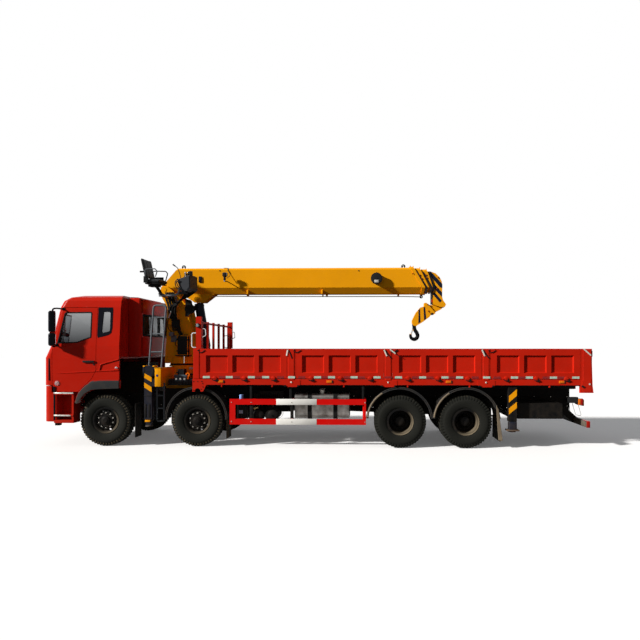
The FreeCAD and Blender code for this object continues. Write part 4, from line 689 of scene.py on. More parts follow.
brass = bare("valve_brass", "#7A6038", "#B59A66", 6.0, Metallic=0.8, Roughness=0.45)
drain = [tube([(3.118, -1.120, 0.800), (3.236, -1.120, 0.822)], 0.018, 12),
         disc(3.150, 3.182, 0.028, (0, -1.120, 0.807), axis="x", sides=6)]
piece("air_tank_valve", drain, brass, "truck")
rail_hoses = [tube(flowing([(x, -0.445, 1.00 - dz), (x + 0.4, -0.46, 0.975 - dz),
                            (x + 0.9, -0.45, 1.00 - dz), (x + 1.4, -0.46, 0.98 - dz)]), 0.011, 8)
              for x in (2.4, 3.7, 5.0, 6.6, 8.0) for dz in (0.0, 0.045)]
tank_hoses = [tube(flowing([(3.205 + dx, -0.9, 0.772), (3.21 + dx, -0.8, 0.86), (3.25 + dx, -0.6, 0.93),
                            (3.3 + dx, -0.45, 0.95)]), 0.009, 8) for dx in (0.0, 0.295)]
piece("air_hoses", both(rail_hoses) + tank_hoses, hose_rubber, "truck")
rail_bolts = np.array([(x, -0.430, z) for x in np.arange(-0.9, 9.9, 0.36) for z in (0.80, 1.0)])
piece("rail_bolts", both([repeat(BOLT, rail_bolts)]), nut_steel, "truck", crisp=25)
chambers = []
for x, half in ((0.0, 0.60), (1.95, 0.60), (6.2, 0.50), (7.55, 0.50)):
    for y in (-half + 0.12, half - 0.12):
        chambers.append(solid([(-0.19, 0.055), (-0.17, 0.080), (-0.02, 0.084), (-0.01, 0.092),
                               (0.01, 0.092), (0.02, 0.084), (0.08, 0.075), (0.10, 0.03)],
                              (x - 0.18, y, 0.62), axis="x", sides=24))
piece("brake_chambers", chambers, black_steel, "truck")

# ------------------------------------------------------------------ fuel tank trims
# Two black steel straps round the tank with their bolts, and its filler cap with a lever.
def band(x_low, x_high, y_low, y_high, z_low, z_high, corner, thick):
    """A strap round a block: two rounded rectangles, apart by its thickness, joined along X."""
    part = np.linspace(0, math.pi / 2, 7)
    a = (np.arange(4)[:, None] * math.pi / 2 + part).ravel()
    quarter = np.repeat(np.arange(4), 7)
    sy, sz = np.array([1, -1, -1, 1])[quarter], np.array([1, 1, -1, -1])[quarter]
    cy, cz = (y_low + y_high) / 2, (z_low + z_high) / 2
    hy, hz = (y_high - y_low) / 2 - corner, (z_high - z_low) / 2 - corner
    rings = []
    for x, r in ((x_low, corner), (x_low, corner + thick), (x_high, corner + thick), (x_high, corner)):
        rings.append(np.stack([x + 0 * a, cy + sy * hy + r * np.cos(a), cz + sz * hz + r * np.sin(a)],
                              -1))
    return surface(np.array(rings), around=True, along=True)


TANK_STRAP_X = (4.290, 4.830)
straps = [band(x - 0.022, x + 0.066, -1.088, -0.472, 0.580, 1.111, 0.076, 0.004) for x in TANK_STRAP_X]
piece("tank_straps", straps, black_steel, "truck")
bolts = [tube([(x + 0.035, -0.90, 0.572), (x + 0.035, -0.90, 0.540)], 0.010) for x in TANK_STRAP_X]
cap = solid([(1.10, 0.056), (1.135, 0.056), (1.150, 0.062), (1.172, 0.060), (1.180, 0.048)],
            (4.56, -0.90, 0), axis="z", sides=28)
lever = tube(flowing([(4.50, -0.90, 1.183), (4.56, -0.90, 1.192), (4.62, -0.91, 1.20)]), 0.008)
piece("tank_filler_cap", [cap, lever] + bolts, nut_steel, "truck")

# ------------------------------------------------------------------ side guard colours
# The middle third of both rails is a white painted sleeve; the stays are bolted through the posts.
guard_white = enamel("side_guard_white", "#E4E2DC", height=1.0, dirt=0.3, vary=0.05)
sleeves = [block((3.632, -1.2425, low), (4.474, -1.2025, high), 0.003)
           for low, high in ((0.8905, 1.0115), (0.4775, 0.5995))]
piece("side_guard_sleeves", both(sleeves), guard_white, "truck")
guard_bolts = np.array([(x, -1.240, z) for x in (2.70, 3.11, 3.955, 5.475) for z in (0.94, 0.54)])
hangers = [block((x, -1.202, 0.985), (x + 0.048, -1.176, 1.306), 0.004) for x in (3.074, 3.902, 5.410)]
hangers += [block((x - 0.003, -1.2065, 0.601), (x + 0.063, -1.172, 0.889), 0.004) for x in (3.080, 3.925)]
piece("side_guard_hangers", both(hangers), black_steel, "truck")
# black sheets over the bed's long beams and side sills: painted shade under the bed
under_bed_shade_sheets = [block((1.990, y - 0.006, 1.168), (10.055, y + 0.006, 1.302), 0.003)
               for y in (-0.434, 0.434)]
under_bed_shade_sheets += [block((1.990, y - 0.006, 1.284), (10.055, y + 0.006, 1.398), 0.003)
                for y in (-1.158, 1.158)]
piece("bed_painted_shade_sheets", under_bed_shade_sheets, black_steel, "truck")
piece("side_guard_bolts", both([repeat(BOLT, guard_bolts)]), nut_steel, "truck",
      crisp=25)

# ------------------------------------------------------------------ mudguard edges and flaps
# A rolled grey edge on the guards, and dusty rubber flaps behind the second and the last axle.
guard_edge = enamel("guard_edge_plastic", "#2A2C2E", height=1.6, dirt=0.5, Roughness=0.55)


def arc(x, z, radius, y, start, end, count=36):
    """Points round a crosswise line, from one angle to another in degrees from straight back."""
    a = np.radians(np.linspace(start, end, count))
    return np.stack([x + radius * np.cos(a), y + 0 * a, z + radius * np.sin(a)], -1)


# X and Z of each guard's middle, then radius, outer face, and first and last angle
REAR_GUARDS = ((6.188, 0.5675), (7.564, 0.5675))
guards = [(1.935, 0.5945, 0.654, 1.160, -2, 182)]
guards += [(*place, 0.684, 1.222, 4, 176) for place in REAR_GUARDS]
edges = [tube(arc(x, z, r - inset, -y, start, end), 0.011, 8) for x, z, r, y, start, end in guards
         for inset in (0.0, 0.028)]
piece("mudguard_edges", both(edges), guard_edge, "truck")
flap_rubber = enamel("dusty_flap_rubber", "#3A352E", grime="#8A7A63", height=1.5, dirt=1.0,
                     Roughness=0.85)


def flap(x, y_low, y_high, z_low, z_high, sway):
    """A hanging rubber sheet: it leans back by sway at its foot, as the square of the depth, and waves
    across by 6 mm."""
    down, across = np.linspace(0, 1, 14), np.linspace(0, 1, 9)
    d, c = np.meshgrid(down, across, indexing="ij")
    centre = x + sway * d ** 2 + 0.006 * d * np.sin(2.3 * math.pi * c)
    y, z = y_low + (y_high - y_low) * c, z_high + (z_low - z_high) * d
    front = np.stack([centre - 0.009, y, z], -1)
    back = np.stack([centre + 0.009, y, z], -1)
    shell = np.concatenate([front, back[:, ::-1]], 1)
    return surface(shell, around=True, caps=True)


flaps = [flap(x, -outer, -inner, foot, top, sway)
         for x, outer, inner, foot, top, sway in ((8.237, 1.222, 0.600, 0.150, 0.62, 0.02),
                                                  (2.578, 1.160, 0.860, 0.175, 0.60, 0.0))]
piece("mud_flaps", both(flaps), flap_rubber, "truck")
dusty_edge = enamel("dusty_edge_rubber", "#6E6252", grime="#9A8A72", height=1.2, dirt=0.8, Roughness=0.85)
fold = [(8.168, 0.900), (8.214, 0.800), (8.246, 0.560), (8.300, 0.158), (8.214, 0.180), (8.190, 0.460),
        (8.176, 0.700)]
dusty = [plate(fold, "y", -1.236, -1.224, 0.003)]
dusty += [tube(arc(x, z, 0.667, -1.228, 122, 174), 0.021, 8) for x, z in REAR_GUARDS]
piece("dusty_guard_edges", both(dusty), dusty_edge, "truck")

# ------------------------------------------------------------------ bumper, lamps and steps
# Lamp units behind clear covers in the bumper, ribbed aluminium treads on both steps, and the blank
# number plate on its holder.
lens_clear, tree, shader = material("clear_polycarbonate", Base_Color=linear("#DDE3E6"), Roughness=0.05,
                                    Transmission_Weight=0.75, IOR=1.58)
lens_amber = enamel("amber_polycarbonate", "#D8690F", height=1.3, dirt=0.2, vary=0.1, Roughness=0.12)
lens_red = enamel("red_polycarbonate", "#A01008", height=1.3, dirt=0.2, vary=0.1, Roughness=0.12)
bright = bare("chromed_trim", "#BDBFC0", "#DCDEDF", 20.0, Metallic=1.0, Roughness=0.16)
aluminium = bare("stamped_aluminium", "#8D8A84", "#D6D4CE", 30.0, Metallic=0.6, Roughness=0.4)
treads = []
for z, x_high in ((1.122, -0.632), (0.654, -0.690)):
    low, high = -1.046, x_high
    treads.append(block((low, -1.256, z - 0.014), (high, -1.190, z + 0.014), 0.005))
    ribs = np.stack([np.linspace(low + 0.02, high - 0.02, 15), np.full(15, -1.223),
                     np.full(15, z + 0.014)], -1)
    treads.append(repeat(block((-0.005, -0.028, -0.002), (0.005, 0.028, 0.004), 0.002, 1), ribs))
piece("step_treads", both(treads), aluminium, "truck")
lamp_bowls, lamp_rims, lamp_covers, turn_lamps = [], [], [], []
for x, y in ((-1.273, -0.985), (-1.290, -0.825)):
    bowl = [(0.026, 0.0), (0.026, 0.020), (0.016, 0.045), (0.004, 0.062), (-0.008, 0.069)]
    bowl += [(-0.004, 0.071), (0.032, 0.030), (0.036, 0.0)]
    lamp_bowls.append(turned(bowl, (x, y, 0.885), axis="x"))
    lamp_rims.append(turned([(-0.002, 0.068), (-0.006, 0.074), (-0.014, 0.074), (-0.014, 0.067)],
                            (x, y, 0.885), axis="x", ring=True))
    lamp_covers.append(turned([(-0.006, 0.0), (-0.006, 0.067), (-0.012, 0.066), (-0.022, 0.045),
                               (-0.028, 0.0)], (x, y, 0.885), axis="x"))
    turn_lamps.append(block((x - 0.014, y - 0.06, 0.785), (x + 0.006, y + 0.06, 0.812), 0.008))
piece("headlamp_bowls", both(lamp_bowls + lamp_rims), bright, "truck")
piece("headlamp_lenses", both(lamp_covers), lens_clear, "truck")
piece("front_turn_lamps", both(turn_lamps), lens_amber, "truck")
mesh_bars = [block((-1.345, -0.55, z), (-1.325, 0.55, z + 0.016), 0.005)
             for z in np.arange(0.665, 0.81, 0.036)]
mesh_bars += [block((-1.338, y, 0.645), (-1.322, y + 0.014, 0.815), 0.004)
              for y in np.arange(-0.5, 0.51, 0.125)]
piece("bumper_air_mesh", mesh_bars, guard_plastic, "truck")
plate_white = enamel("plate_enamel", "#BDBBB6", height=1.0, dirt=0.3, vary=0.03)
piece("front_number_plate", [plate([(-0.24, 1.0), (0.24, 1.0), (0.24, 1.14), (-0.24, 1.14)], "x", -1.364,
                                   -1.358)], plate_white, "truck")
feet = [block((-1.085, -1.150, 0.430), (-0.985, -1.060, 0.500), 0.006),
        tube(bent([(-1.06, -1.10, 0.49), (-1.06, -1.10, 0.56), (-1.00, -1.04, 0.60)], 0.05), 0.014)]
piece("step_brackets", both(feet), black_steel, "truck")

# ------------------------------------------------------------------ cab trims
# Moulded black wheel-arch flares, door handles, window seals, mirrors on tubular arms, wipers, lamps and
# the grille's slats, all clipped or screwed to the shell; the creases and the rear wall are pressed.
black_abs = enamel("moulded_abs", "#131416", grime="#5C564E", height=1.4, dirt=0.3, Roughness=0.38,
                   Coat_Weight=0.2)
seal_rubber = enamel("window_seal_rubber", "#0E0F10", height=1.0, dirt=0.1, Roughness=0.6)
CAB_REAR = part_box("cab_sides")[1].x - front_axle_x


def seal(outer, inner, y_low, y_high):
    """A strip round a window: a closed band between its outer and its inner outline and two depths."""
    rings = [np.stack([q[:, 0], lean(q[:, 1]) + depth, q[:, 1]], -1)
             for q, depth in ((outer, y_high), (outer, y_low), (inner, y_low), (inner, y_high))]
    return surface(np.array(rings), around=True, along=True)


def lean(z):
    """How far out the cab's left side stands at a height: 1.235 m, and from 2.11 m up it leans in."""
    return -np.interp(z, [1.86, 2.11, 2.93], [1.235, 1.228, 1.150])


DOOR_WINDOW = np.array([(-0.995, 2.160), (-0.870, 2.790), (-0.838, 2.826), (-0.300, 2.832),
                        (-0.276, 2.806), (-0.270, 2.290), (-0.560, 2.180)])
QUARTER = np.array([(-0.146, 2.926), (0.030, 2.926), (0.160, 2.924), (0.168, 2.880), (0.169, 2.480),
                    (0.152, 2.395), (0.115, 2.352), (0.060, 2.330), (-0.132, 2.284), (-0.146, 2.340)])
QUARTER_GLASS = np.array([(-0.036, 2.830), (0.030, 2.832), (0.092, 2.830), (0.116, 2.806), (0.122, 2.470),
                          (0.116, 2.430), (0.092, 2.414), (0.060, 2.406), (-0.040, 2.382),
                          (-0.058, 2.420)])
for side, flip in SIDES:
    strip = seal(DOOR_WINDOW, inward(DOOR_WINDOW, 0.022), -0.004, 0.020)
    piece(f"door_seal_{side}", flipped([strip], flip), seal_rubber, f"door_{side}")
    handle = [block((-0.432, -1.2665, 1.764), (-0.188, -1.250, 1.806), 0.008, 3),
              block((-0.405, -1.256, 1.768), (-0.215, -1.232, 1.800), 0.006),
              solid([(-1.228, 0.019), (-1.239, 0.019), (-1.242, 0.015)], (-0.205, 0, 1.725), sides=20)]
    piece(f"door_handle_{side}", flipped(handle, flip), black_abs, f"door_{side}")
gloss_black = enamel("gloss_panel_enamel", "#0D1018", height=1.0, dirt=0.1, Roughness=0.2)
surround = [seal(QUARTER, QUARTER_GLASS, -0.004, 0.030)]
piece("quarter_window_surrounds", both(surround), gloss_black, "cab")
for side, flip in SIDES:
    crease = [tube(flowing([(-1.010, -1.232, 1.534), (-0.600, -1.231, 1.556), (-0.172, -1.231, 1.579)]),
                   np.concatenate([np.linspace(0.004, 0.012, 8), np.full(7, 0.012)]), 12)]
    piece(f"door_crease_{side}", flipped(crease, flip), cab_red, f"door_{side}", crisp=60)
creases = [tube([(-0.156, -1.231, 1.580), (0.322, -1.231, 1.607)], 0.012, 12),
           tube(flowing([(-0.090, -1.230, 1.596), (-0.062, -1.231, 1.690), (-0.030, -1.231, 1.730),
                         (0.322, -1.231, 1.830)]), 0.012, 12)]
piece("cab_creases", both(creases), cab_red, "cab", crisp=60)
gaps = [block((-1.168, -1.2405, 1.390), (-1.144, -1.230, 1.850), 0.003),
        block((-1.058, -1.2440, 0.560), (-1.022, -1.234, 1.262), 0.003)]
piece("cab_corner_gap_covers", both(gaps), gloss_black, "cab")
# the rear wall's deep pressing stands back round a sliding window in a rubber frame
pressing = [block((0.322, -0.820, 1.872), (0.600, -0.683, 3.156), 0.035, 4),
            block((0.322, 0.683, 1.872), (0.600, 0.820, 3.156), 0.035, 4),
            block((0.322, -0.800, 1.872), (0.600, 0.800, 2.345), 0.035, 4),
            block((0.322, -0.800, 2.795), (0.600, 0.800, 3.156), 0.035, 4)]
piece("cab_rear_pressing", pressing, cab_red, "cab", crisp=60)
rear_rubber = [block((0.588, -0.700, low), (0.612, 0.700, high), 0.006)
               for low, high in ((2.330, 2.362), (2.778, 2.810))]
rear_rubber += [block((0.588, y - 0.016, 2.335), (0.612, y + 0.016, 2.805), 0.006)
                for y in (-0.684, -0.200, 0.200, 0.684)]
piece("rear_window_rubber", rear_rubber, seal_rubber, "cab")
dark_glass = bare("smoked_safety_glass", "#2E3033", "#6B6E71", 5.0, Metallic=0.9, Roughness=0.05,
                  Alpha=0.92)
piece("rear_window_pane", [block((0.576, -0.690, 2.340), (0.584, 0.690, 2.800), 0.002)], dark_glass,
      "cab")

ARCH_TOP = [(-0.604, 0.928), (-0.560, 1.075), (-0.481, 1.192), (-0.330, 1.325), (-0.167, 1.389),
            (CAB_REAR, 1.404)]
ARCH_UNDER = [(CAB_REAR, 1.225), (-0.178, 1.204), (-0.300, 1.168), (-0.410, 1.096), (-0.470, 1.020),
              (-0.556, 0.905)]


def flare_form():
    """The flare as a swelling band: between the arch's two smooth edges the surface stands out from the
    cab by 12 mm and more towards its lip, as a quarter sine."""
    top = flowing([(x, 0, z) for x, z in ARCH_TOP], 6)[:, (0, 2)]
    under = flowing([(x, 0, z) for x, z in ARCH_UNDER[::-1]], 6)[:, (0, 2)]
    s = np.linspace(0, 1, 9)[None, :, None]
    flat = top[:, None] * (1 - s) + under[:, None] * s
    s = s[..., 0]
    out = -1.2495 - 0.010 * np.sin(s * math.pi / 2) + 0.008 * np.exp(-s / 0.05)
    front = np.stack([flat[..., 0], out + 0 * flat[..., 0], flat[..., 1]], -1)
    back = front * (1, 0, 1) + (0, -1.232, 0)
    lip = front[:, -1:] * (1, 0, 1) + (0, -1.15, 0)
    return surface(np.concatenate([front, lip, back[:, ::-1]], 1), around=True, caps=True)


piece("wheel_arch_flares", both([flare_form()]), guard_edge, "cab", crisp=50)
side_lamps = [turned([(-1.225, 0.0), (-1.225, 0.052), (-1.238, 0.050), (-1.246, 0.030), (-1.249, 0.0)],
                     (-0.985, 0, 1.330), sides=24)]
side_lamps += [block((0.245, -1.246, 1.642), (0.297, -1.230, 1.675), 0.006)]
piece("cab_side_lamps", both(side_lamps), lens_clear, "cab")


def turn_about(form, pivot, degrees):
    """The form turned about an upright line: x' = x cos - y sin, y' = x sin + y cos from the pivot."""
    c, s = math.cos(math.radians(degrees)), math.sin(math.radians(degrees))
    points = form[0] - pivot
    turned_points = np.stack([c * points[:, 0] - s * points[:, 1], s * points[:, 0] + c * points[:, 1],
                              points[:, 2]], -1)
    return turned_points + pivot, form[1]


MIRROR, MIRROR_TURN = np.array([-0.985, -1.390, 0.0]), 30
mirror_glass = bare("silvered_mirror", "#C2C7CB", "#CDD2D6", 4.0, Metallic=1.0, Roughness=0.03)
for side, flip in SIDES:
    shells = [block((-1.062, -1.502, 2.392), (-0.930, -1.278, 2.838), 0.045, 5),
              block((-1.062, -1.502, 2.108), (-0.930, -1.278, 2.382), 0.045, 5)]
    faces = [block((-0.934, -1.468, 2.430), (-0.926, -1.312, 2.800), 0.0035, 2),
             block((-0.934, -1.468, 2.146), (-0.926, -1.312, 2.344), 0.0035, 2)]
    shells, faces = ([turn_about(form, MIRROR, MIRROR_TURN) for form in forms]
                     for forms in (shells, faces))
    arms = [tube(bent([(-0.885, -1.140, 2.892), (-0.950, -1.290, 2.897), (-0.985, -1.390, 2.884),
                       (-0.985, -1.390, 2.770)], 0.05), 0.0165, 12),
            tube(bent([(-0.995, -1.205, 2.130), (-0.985, -1.390, 2.085), (-0.985, -1.390, 2.200)], 0.05),
                 0.0165, 12), tube([(-0.985, -1.390, 2.33), (-0.985, -1.390, 2.39)], 0.0145)]
    arms += [block((-0.925, -1.168, 2.862), (-0.860, -1.142, 2.918), 0.010, 3),
             block((-1.030, -1.240, 2.100), (-0.965, -1.216, 2.158), 0.010, 3)]
    for name, forms, finish in (("mirror_shells", shells + arms, gloss_black),
                                ("mirror_faces", faces, mirror_glass)):
        piece(f"{name}_{side}", flipped(forms, flip), finish, f"door_{side}")

slats = [tube(flowing([(-1.305, -0.82, z), (-1.352, -0.4, z), (-1.368, 0, z), (-1.352, 0.4, z),
                       (-1.305, 0.82, z)], 8), 0.011, 8)
         for z in (1.420, 1.458, 1.528, 1.566, 1.636, 1.674, 1.744, 1.782)]
piece("grille_slats", slats, bright, "cab")
wipers = []
for y in (-0.72, 0.0, 0.72):
    wipers.append(tube(flowing([(-1.292, y + 0.02, 2.095), (-1.285, y + 0.16, 2.20),
                                (-1.252, y + 0.33, 2.40)]), 0.009, 8))
    wipers.append(block((-1.300, y - 0.02, 2.070), (-1.262, y + 0.06, 2.110), 0.010))
    wipers.append(tube([(-1.282, y + 0.10, 2.23), (-1.232, y + 0.46, 2.52)], 0.008, 6))
piece("wipers", wipers, black_abs, "cab")

# ------------------------------------------------------------------ cab inside
# Two sprung seats in woven cover, a moulded dashboard with its instrument hood, and the steering wheel.
seat_cloth, tree, shader = material("woven_seat_cover", Roughness=0.9, Sheen_Weight=0.3)
place = add(tree, "TexCoord").outputs["Object"]
# threads are drawn 4 mm apart, coarse enough to show
weave = add(tree, "TexWave", {"Vector": place, "Scale": 78.0, "Distortion": 0.6},
            bands_direction="DIAGONAL")
tree.links.new(ramp(tree, weave.outputs["Fac"], "#26282B", "#3D4146"), shader.inputs["Base Color"])
relieve(tree, shader, weave.outputs["Fac"], 0.3, 0.001)


def cushion(low, high, thin_axis, crown=0.35, rows=26, channels=(), depth=0.008):
    """A stuffed pad: a block whose half size shrinks towards the rim as (1 - s^6)(1 - t^6) to the power
    crown, pulled in by 3 % between its corners, with sewn channels as narrow dips exp(-(d / 9 mm)^2)."""
    low, high = np.array(low, float), np.array(high, float)
    centre, half = (low + high) / 2, (high - low) / 2
    axes = [i for i in range(3) if i != thin_axis]
    s = np.sin(np.linspace(-1, 1, rows) * math.pi / 2)
    u, v = np.meshgrid(s, s, indexing="ij")
    swell = ((1 - u ** 6) * (1 - v ** 6)) ** crown
    pull_u = 1 - 0.03 * (1 - v ** 2) * np.abs(u) ** 3
    pull_v = 1 - 0.03 * (1 - u ** 2) * np.abs(v) ** 3
    sheets = []
    for sign in (1, -1):
        points = np.zeros(u.shape + (3,))
        points[..., axes[0]] = centre[axes[0]] + half[axes[0]] * u * pull_u
        points[..., axes[1]] = centre[axes[1]] + half[axes[1]] * v * pull_v
        dip = sum(np.exp(-((u - c) * half[axes[0]] / 0.009) ** 2) for c in channels) if channels else 0
        points[..., thin_axis] = centre[thin_axis] + sign * (half[thin_axis] * swell - depth * dip
                                                             * swell)
        sheets.append(points)
    top, bottom = surface(sheets[0]), surface(sheets[1])
    return (np.concatenate([top[0], bottom[0]]), [top[1][0], bottom[1][0] + len(top[0])])


def tilt(form, pivot, degrees):
    """The form leant back about a crosswise line: x' = x cos + z sin, z' = z cos - x sin."""
    c, s = math.cos(math.radians(degrees)), math.sin(math.radians(degrees))
    p = form[0] - pivot
    return np.stack([c * p[:, 0] + s * p[:, 2], p[:, 1], c * p[:, 2] - s * p[:, 0]], -1) + pivot, form[1]


SEAT_Y = 0.69
for side, flip in SIDES:
    y = -flip * SEAT_Y
    pan = cushion((-0.80, y - 0.245, 1.765), (-0.40, y + 0.245, 1.88), 2, channels=(-0.4, 0.1, 0.5))
    back = tilt(cushion((-0.505, y - 0.235, 1.885), (-0.395, y + 0.235, 2.47), 0),
                np.array([-0.45, y, 1.885]), 10)
    rest = tilt(cushion((-0.38, y - 0.135, 2.50), (-0.30, y + 0.135, 2.67), 0),
                np.array([-0.34, y, 2.50]), 8)
    for name, form in (("pan", pan), ("back", back), ("head_rest", rest)):
        made = piece(f"cab_seat_{name}_{side}", [form], seat_cloth, "cab", crisp=70)
dash_plastic = enamel("dashboard_plastic", "#2B2D30", height=0.1, dirt=0.0, vary=0.05, Roughness=0.7)
DASH = [(-1.168, 1.332), (-1.132, 1.332), (-1.112, 1.70), (-1.004, 1.80), (-0.993, 1.96), (-1.010, 2.022),
        (-1.040, 2.048), (-1.080, 2.048), (-1.158, 1.90)]
inside = [plate(DASH, "y", -1.018, 1.018, 0.008),
          block((-1.050, -0.92, 2.02), (-0.96, -0.46, 2.085), 0.03, 4)]
inside += [block((-0.995, y - 0.07, 1.88), (-0.984, y + 0.07, 1.94), 0.004) for y in (-0.2, 0.0, 0.2)]
for y in (-SEAT_Y, SEAT_Y):
    inside.append(block((-0.70, y - 0.17, 1.332), (-0.42, y + 0.17, 1.762), 0.02))
inside.append(tube(bent([(-1.09, -SEAT_Y, 1.70), (-0.93, -SEAT_Y, 2.01)], 0.02), 0.027, 14))
WHEEL_CENTRE = np.array([-0.905, -SEAT_Y, 2.058])
WHEEL_AXIS = np.array([0.46, 0, 0.89])
across = np.cross(WHEEL_AXIS, (0, 1, 0))


def wheel_rim(radius, thickness):
    """The steering wheel's rim: rings of a round bar, carried round a circle across the wheel's axis."""
    turn = np.linspace(0, 2 * math.pi, 49)[:-1, None]
    loop = WHEEL_CENTRE + radius * (np.cos(turn) * np.array([0, 1, 0]) + np.sin(turn) * across)
    t = np.roll(loop, -1, 0) - np.roll(loop, 1, 0)
    t /= np.linalg.norm(t, axis=1)[:, None]
    out = np.cross(t, WHEEL_AXIS)
    a = (np.arange(10) * 2 * math.pi / 10)[:, None]
    rings = loop[:, None] + thickness * (np.cos(a) * out[:, None] + np.sin(a) * WHEEL_AXIS)
    return surface(rings, around=True, along=True)


inside.append(wheel_rim(0.215, 0.017))
inside += [tube([(-0.93, -SEAT_Y, 2.01), (-0.90, -SEAT_Y, 2.066)], 0.042, 20),
           tube([(-0.907, -0.90, 2.056), (-0.907, -0.48, 2.056)], 0.013),
           tube([(-0.907, -SEAT_Y, 2.056), tuple(WHEEL_CENTRE + 0.21 * across)], 0.013)]
interior = piece("dashboard_and_wheel", inside, dash_plastic, "cab")
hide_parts("cab_interior")

# ------------------------------------------------------------------ gate hinges and latches
# Each gate swings on three forged hinges and is held at the posts by plated levers over black draw hooks;
# these are bolted or welded on and partly sprayed with the bed. The black bars under each hinge's boss
# and down to the right of each post lever are painted shadows.
GATE_FIRST, GATE_PITCH, GATE_LENGTH, BED_Y = 2.037, 2.005, 1.815, -1.235
HINGE_OFFSETS = (0.311, 0.925, 1.538)
gate_starts = GATE_FIRST + GATE_PITCH * np.arange(4)
lever_steel, tree, shader = material("galvanised_steel", Metallic=0.75, Roughness=0.45)
place = add(tree, "TexCoord").outputs["Object"]
spangle = add(tree, "TexVoronoi", {"Vector": place, "Scale": 90.0})
tree.links.new(ramp(tree, spangle.outputs["Color"], "#A5A39B", "#D4D2C6"), shader.inputs["Base Color"])


def side_bar(points, y, radius=0.009, sides=8):
    """A bar along (X, Z) points at one depth across the truck."""
    return tube([(x, y, z) for x, z in points], radius, sides)


def side_strap(points, y, width, thick):
    """A flat bar along (X, Z) points: its outline runs along both sides, width / 2 from each point."""
    p = np.array(points, float)
    ahead = np.gradient(p, axis=0)
    ahead /= np.linalg.norm(ahead, axis=1)[:, None]
    out = np.stack([-ahead[:, 1], ahead[:, 0]], 1) * width / 2
    return plate(np.concatenate([p + out, (p - out)[::-1]]), "y", y - thick, y)


def hinge_boss(x):
    """Round boss at one hinge."""
    profile = [(0.002, 0.0), (0.002, 0.050), (-0.010, 0.046), (-0.016, 0.030), (-0.017, 0.0)]
    return turned(profile, (x, BED_Y, 1.436), sides=24)


def hinge_boss_shadow(x):
    """Black bars shaped as a pin and split keeper under a hinge's boss: painted shadow of the boss."""
    y = BED_Y - 0.014
    return [side_strap([(x - 0.045, 1.414), (x - 0.020, 1.398), (x + 0.070, 1.398)], y, 0.016, 0.012),
            side_strap([(x + 0.034, 1.430), (x + 0.052, 1.404), (x + 0.028, 1.366)], y + 0.003, 0.014,
                       0.010), side_strap([(x + 0.050, 1.416), (x + 0.078, 1.398), (x + 0.050, 1.382)], y,
                                          0.012, 0.010)]


def draw_hook(x):
    """Black hook at a gate's upper front corner: a stud and a bent bar."""
    y = BED_Y - 0.008
    return [solid([(BED_Y + 0.001, 0.016), (BED_Y - 0.012, 0.014)], (x - 0.035, 0, 2.018), sides=12),
            side_bar([(x - 0.020, 1.978), (x + 0.035, 1.976), (x + 0.060, 1.990), (x + 0.105, 2.022)], y,
                     0.008)]


for number, start in enumerate(gate_starts, 1):
    bosses = [hinge_boss(start + offset) for offset in HINGE_OFFSETS]
    boss_shadows = [form for offset in HINGE_OFFSETS for form in hinge_boss_shadow(start + offset)]
    for side, flip in SIDES:
        body = f"gate_{number}_{side}"
        for name, forms, finish in (("hinge_bosses", bosses, bed_red),
                                    ("hinge_shadows_and_hooks", boss_shadows + draw_hook(start), black_steel)):
            piece(f"{body}_{name}", flipped(forms, flip), finish, body)
post_starts = gate_starts[:3] + GATE_LENGTH + 0.006
post_width = GATE_PITCH - GATE_LENGTH - 0.012
LEVER_BAR = (0.026, 0.010)
levers = [side_strap([(post_starts[0] + 0.014, 2.030), (post_starts[0] - 0.010, 1.905)], BED_Y - 0.012,
                     *LEVER_BAR)]
levers += [side_strap([(x + 0.003, 2.034), (x + 0.058, 1.902)], BED_Y - 0.012, *LEVER_BAR)
           for x in post_starts[1:]]
levers += [side_strap([(5.994, 2.036), (6.102, 1.952)], BED_Y - 0.012, *LEVER_BAR),
           side_strap([(9.936, 2.046), (10.084, 1.916)], BED_Y - 0.008, *LEVER_BAR)]
piece("latch_levers", both(levers), lever_steel, "truck")
# painted shadows of the post levers: black bars set off from each lever down to the right
straps = [side_strap([(post_starts[0] + 0.030, 2.028), (post_starts[0] + 0.066, 1.962),
                      (post_starts[0] + 0.104, 1.852)], BED_Y - 0.010, 0.020, 0.008)]
straps += [side_strap([(x + 0.030, 2.028), (x + 0.080, 1.950), (x + 0.146, 1.858)], BED_Y - 0.010, 0.020,
                      0.008) for x in post_starts[1:]]
straps += [side_bar([(6.100, 1.956), (6.150, 1.918), (6.205, 1.878)], BED_Y - 0.006, 0.007),
           side_bar([(6.088, 2.002), (6.140, 2.034)], BED_Y - 0.008, 0.008)]
piece("latch_lever_shadows_and_bars", both(straps), black_steel, "truck")

# ------------------------------------------------------------------ posts, shoes and rail fittings
# A pressed cover stands on each post between two folded edges; the shoes below are bolted through, and
# small tabs for lashing hang under the rail.
covers, shoe_bolts, stops = [], [], []
for x in post_starts:
    covers.append(plate([(x + 0.030, 1.404), (x + 0.030, 2.044), (x + post_width - 0.030, 2.044),
                         (x + post_width - 0.030, 1.404)], "y", BED_Y - 0.009, BED_Y + 0.002, 0.005))
    shoe_bolts.append((x + 0.086, BED_Y - 0.006, 1.361))
    stops += [solid([(BED_Y - 0.026, 0.018), (BED_Y + 0.03, 0.020)], (x + dx, 0, 1.286), sides=10)
              for dx in (-0.042, post_width + 0.052)]
covers.append(plate([(9.922, 1.404), (9.922, 2.044), (10.090, 2.044), (10.090, 1.170), (9.940, 1.170),
                     (9.900, 1.215), (9.900, 1.404)], "y", BED_Y - 0.007, BED_Y + 0.002, 0.004))
covers.append(plate([(1.905, 1.430), (1.905, 2.046), (2.020, 2.046), (2.020, 1.430)], "y", BED_Y - 0.006,
                    BED_Y + 0.002, 0.004))
shoe_bolts.append((10.056, BED_Y - 0.007, 1.330))
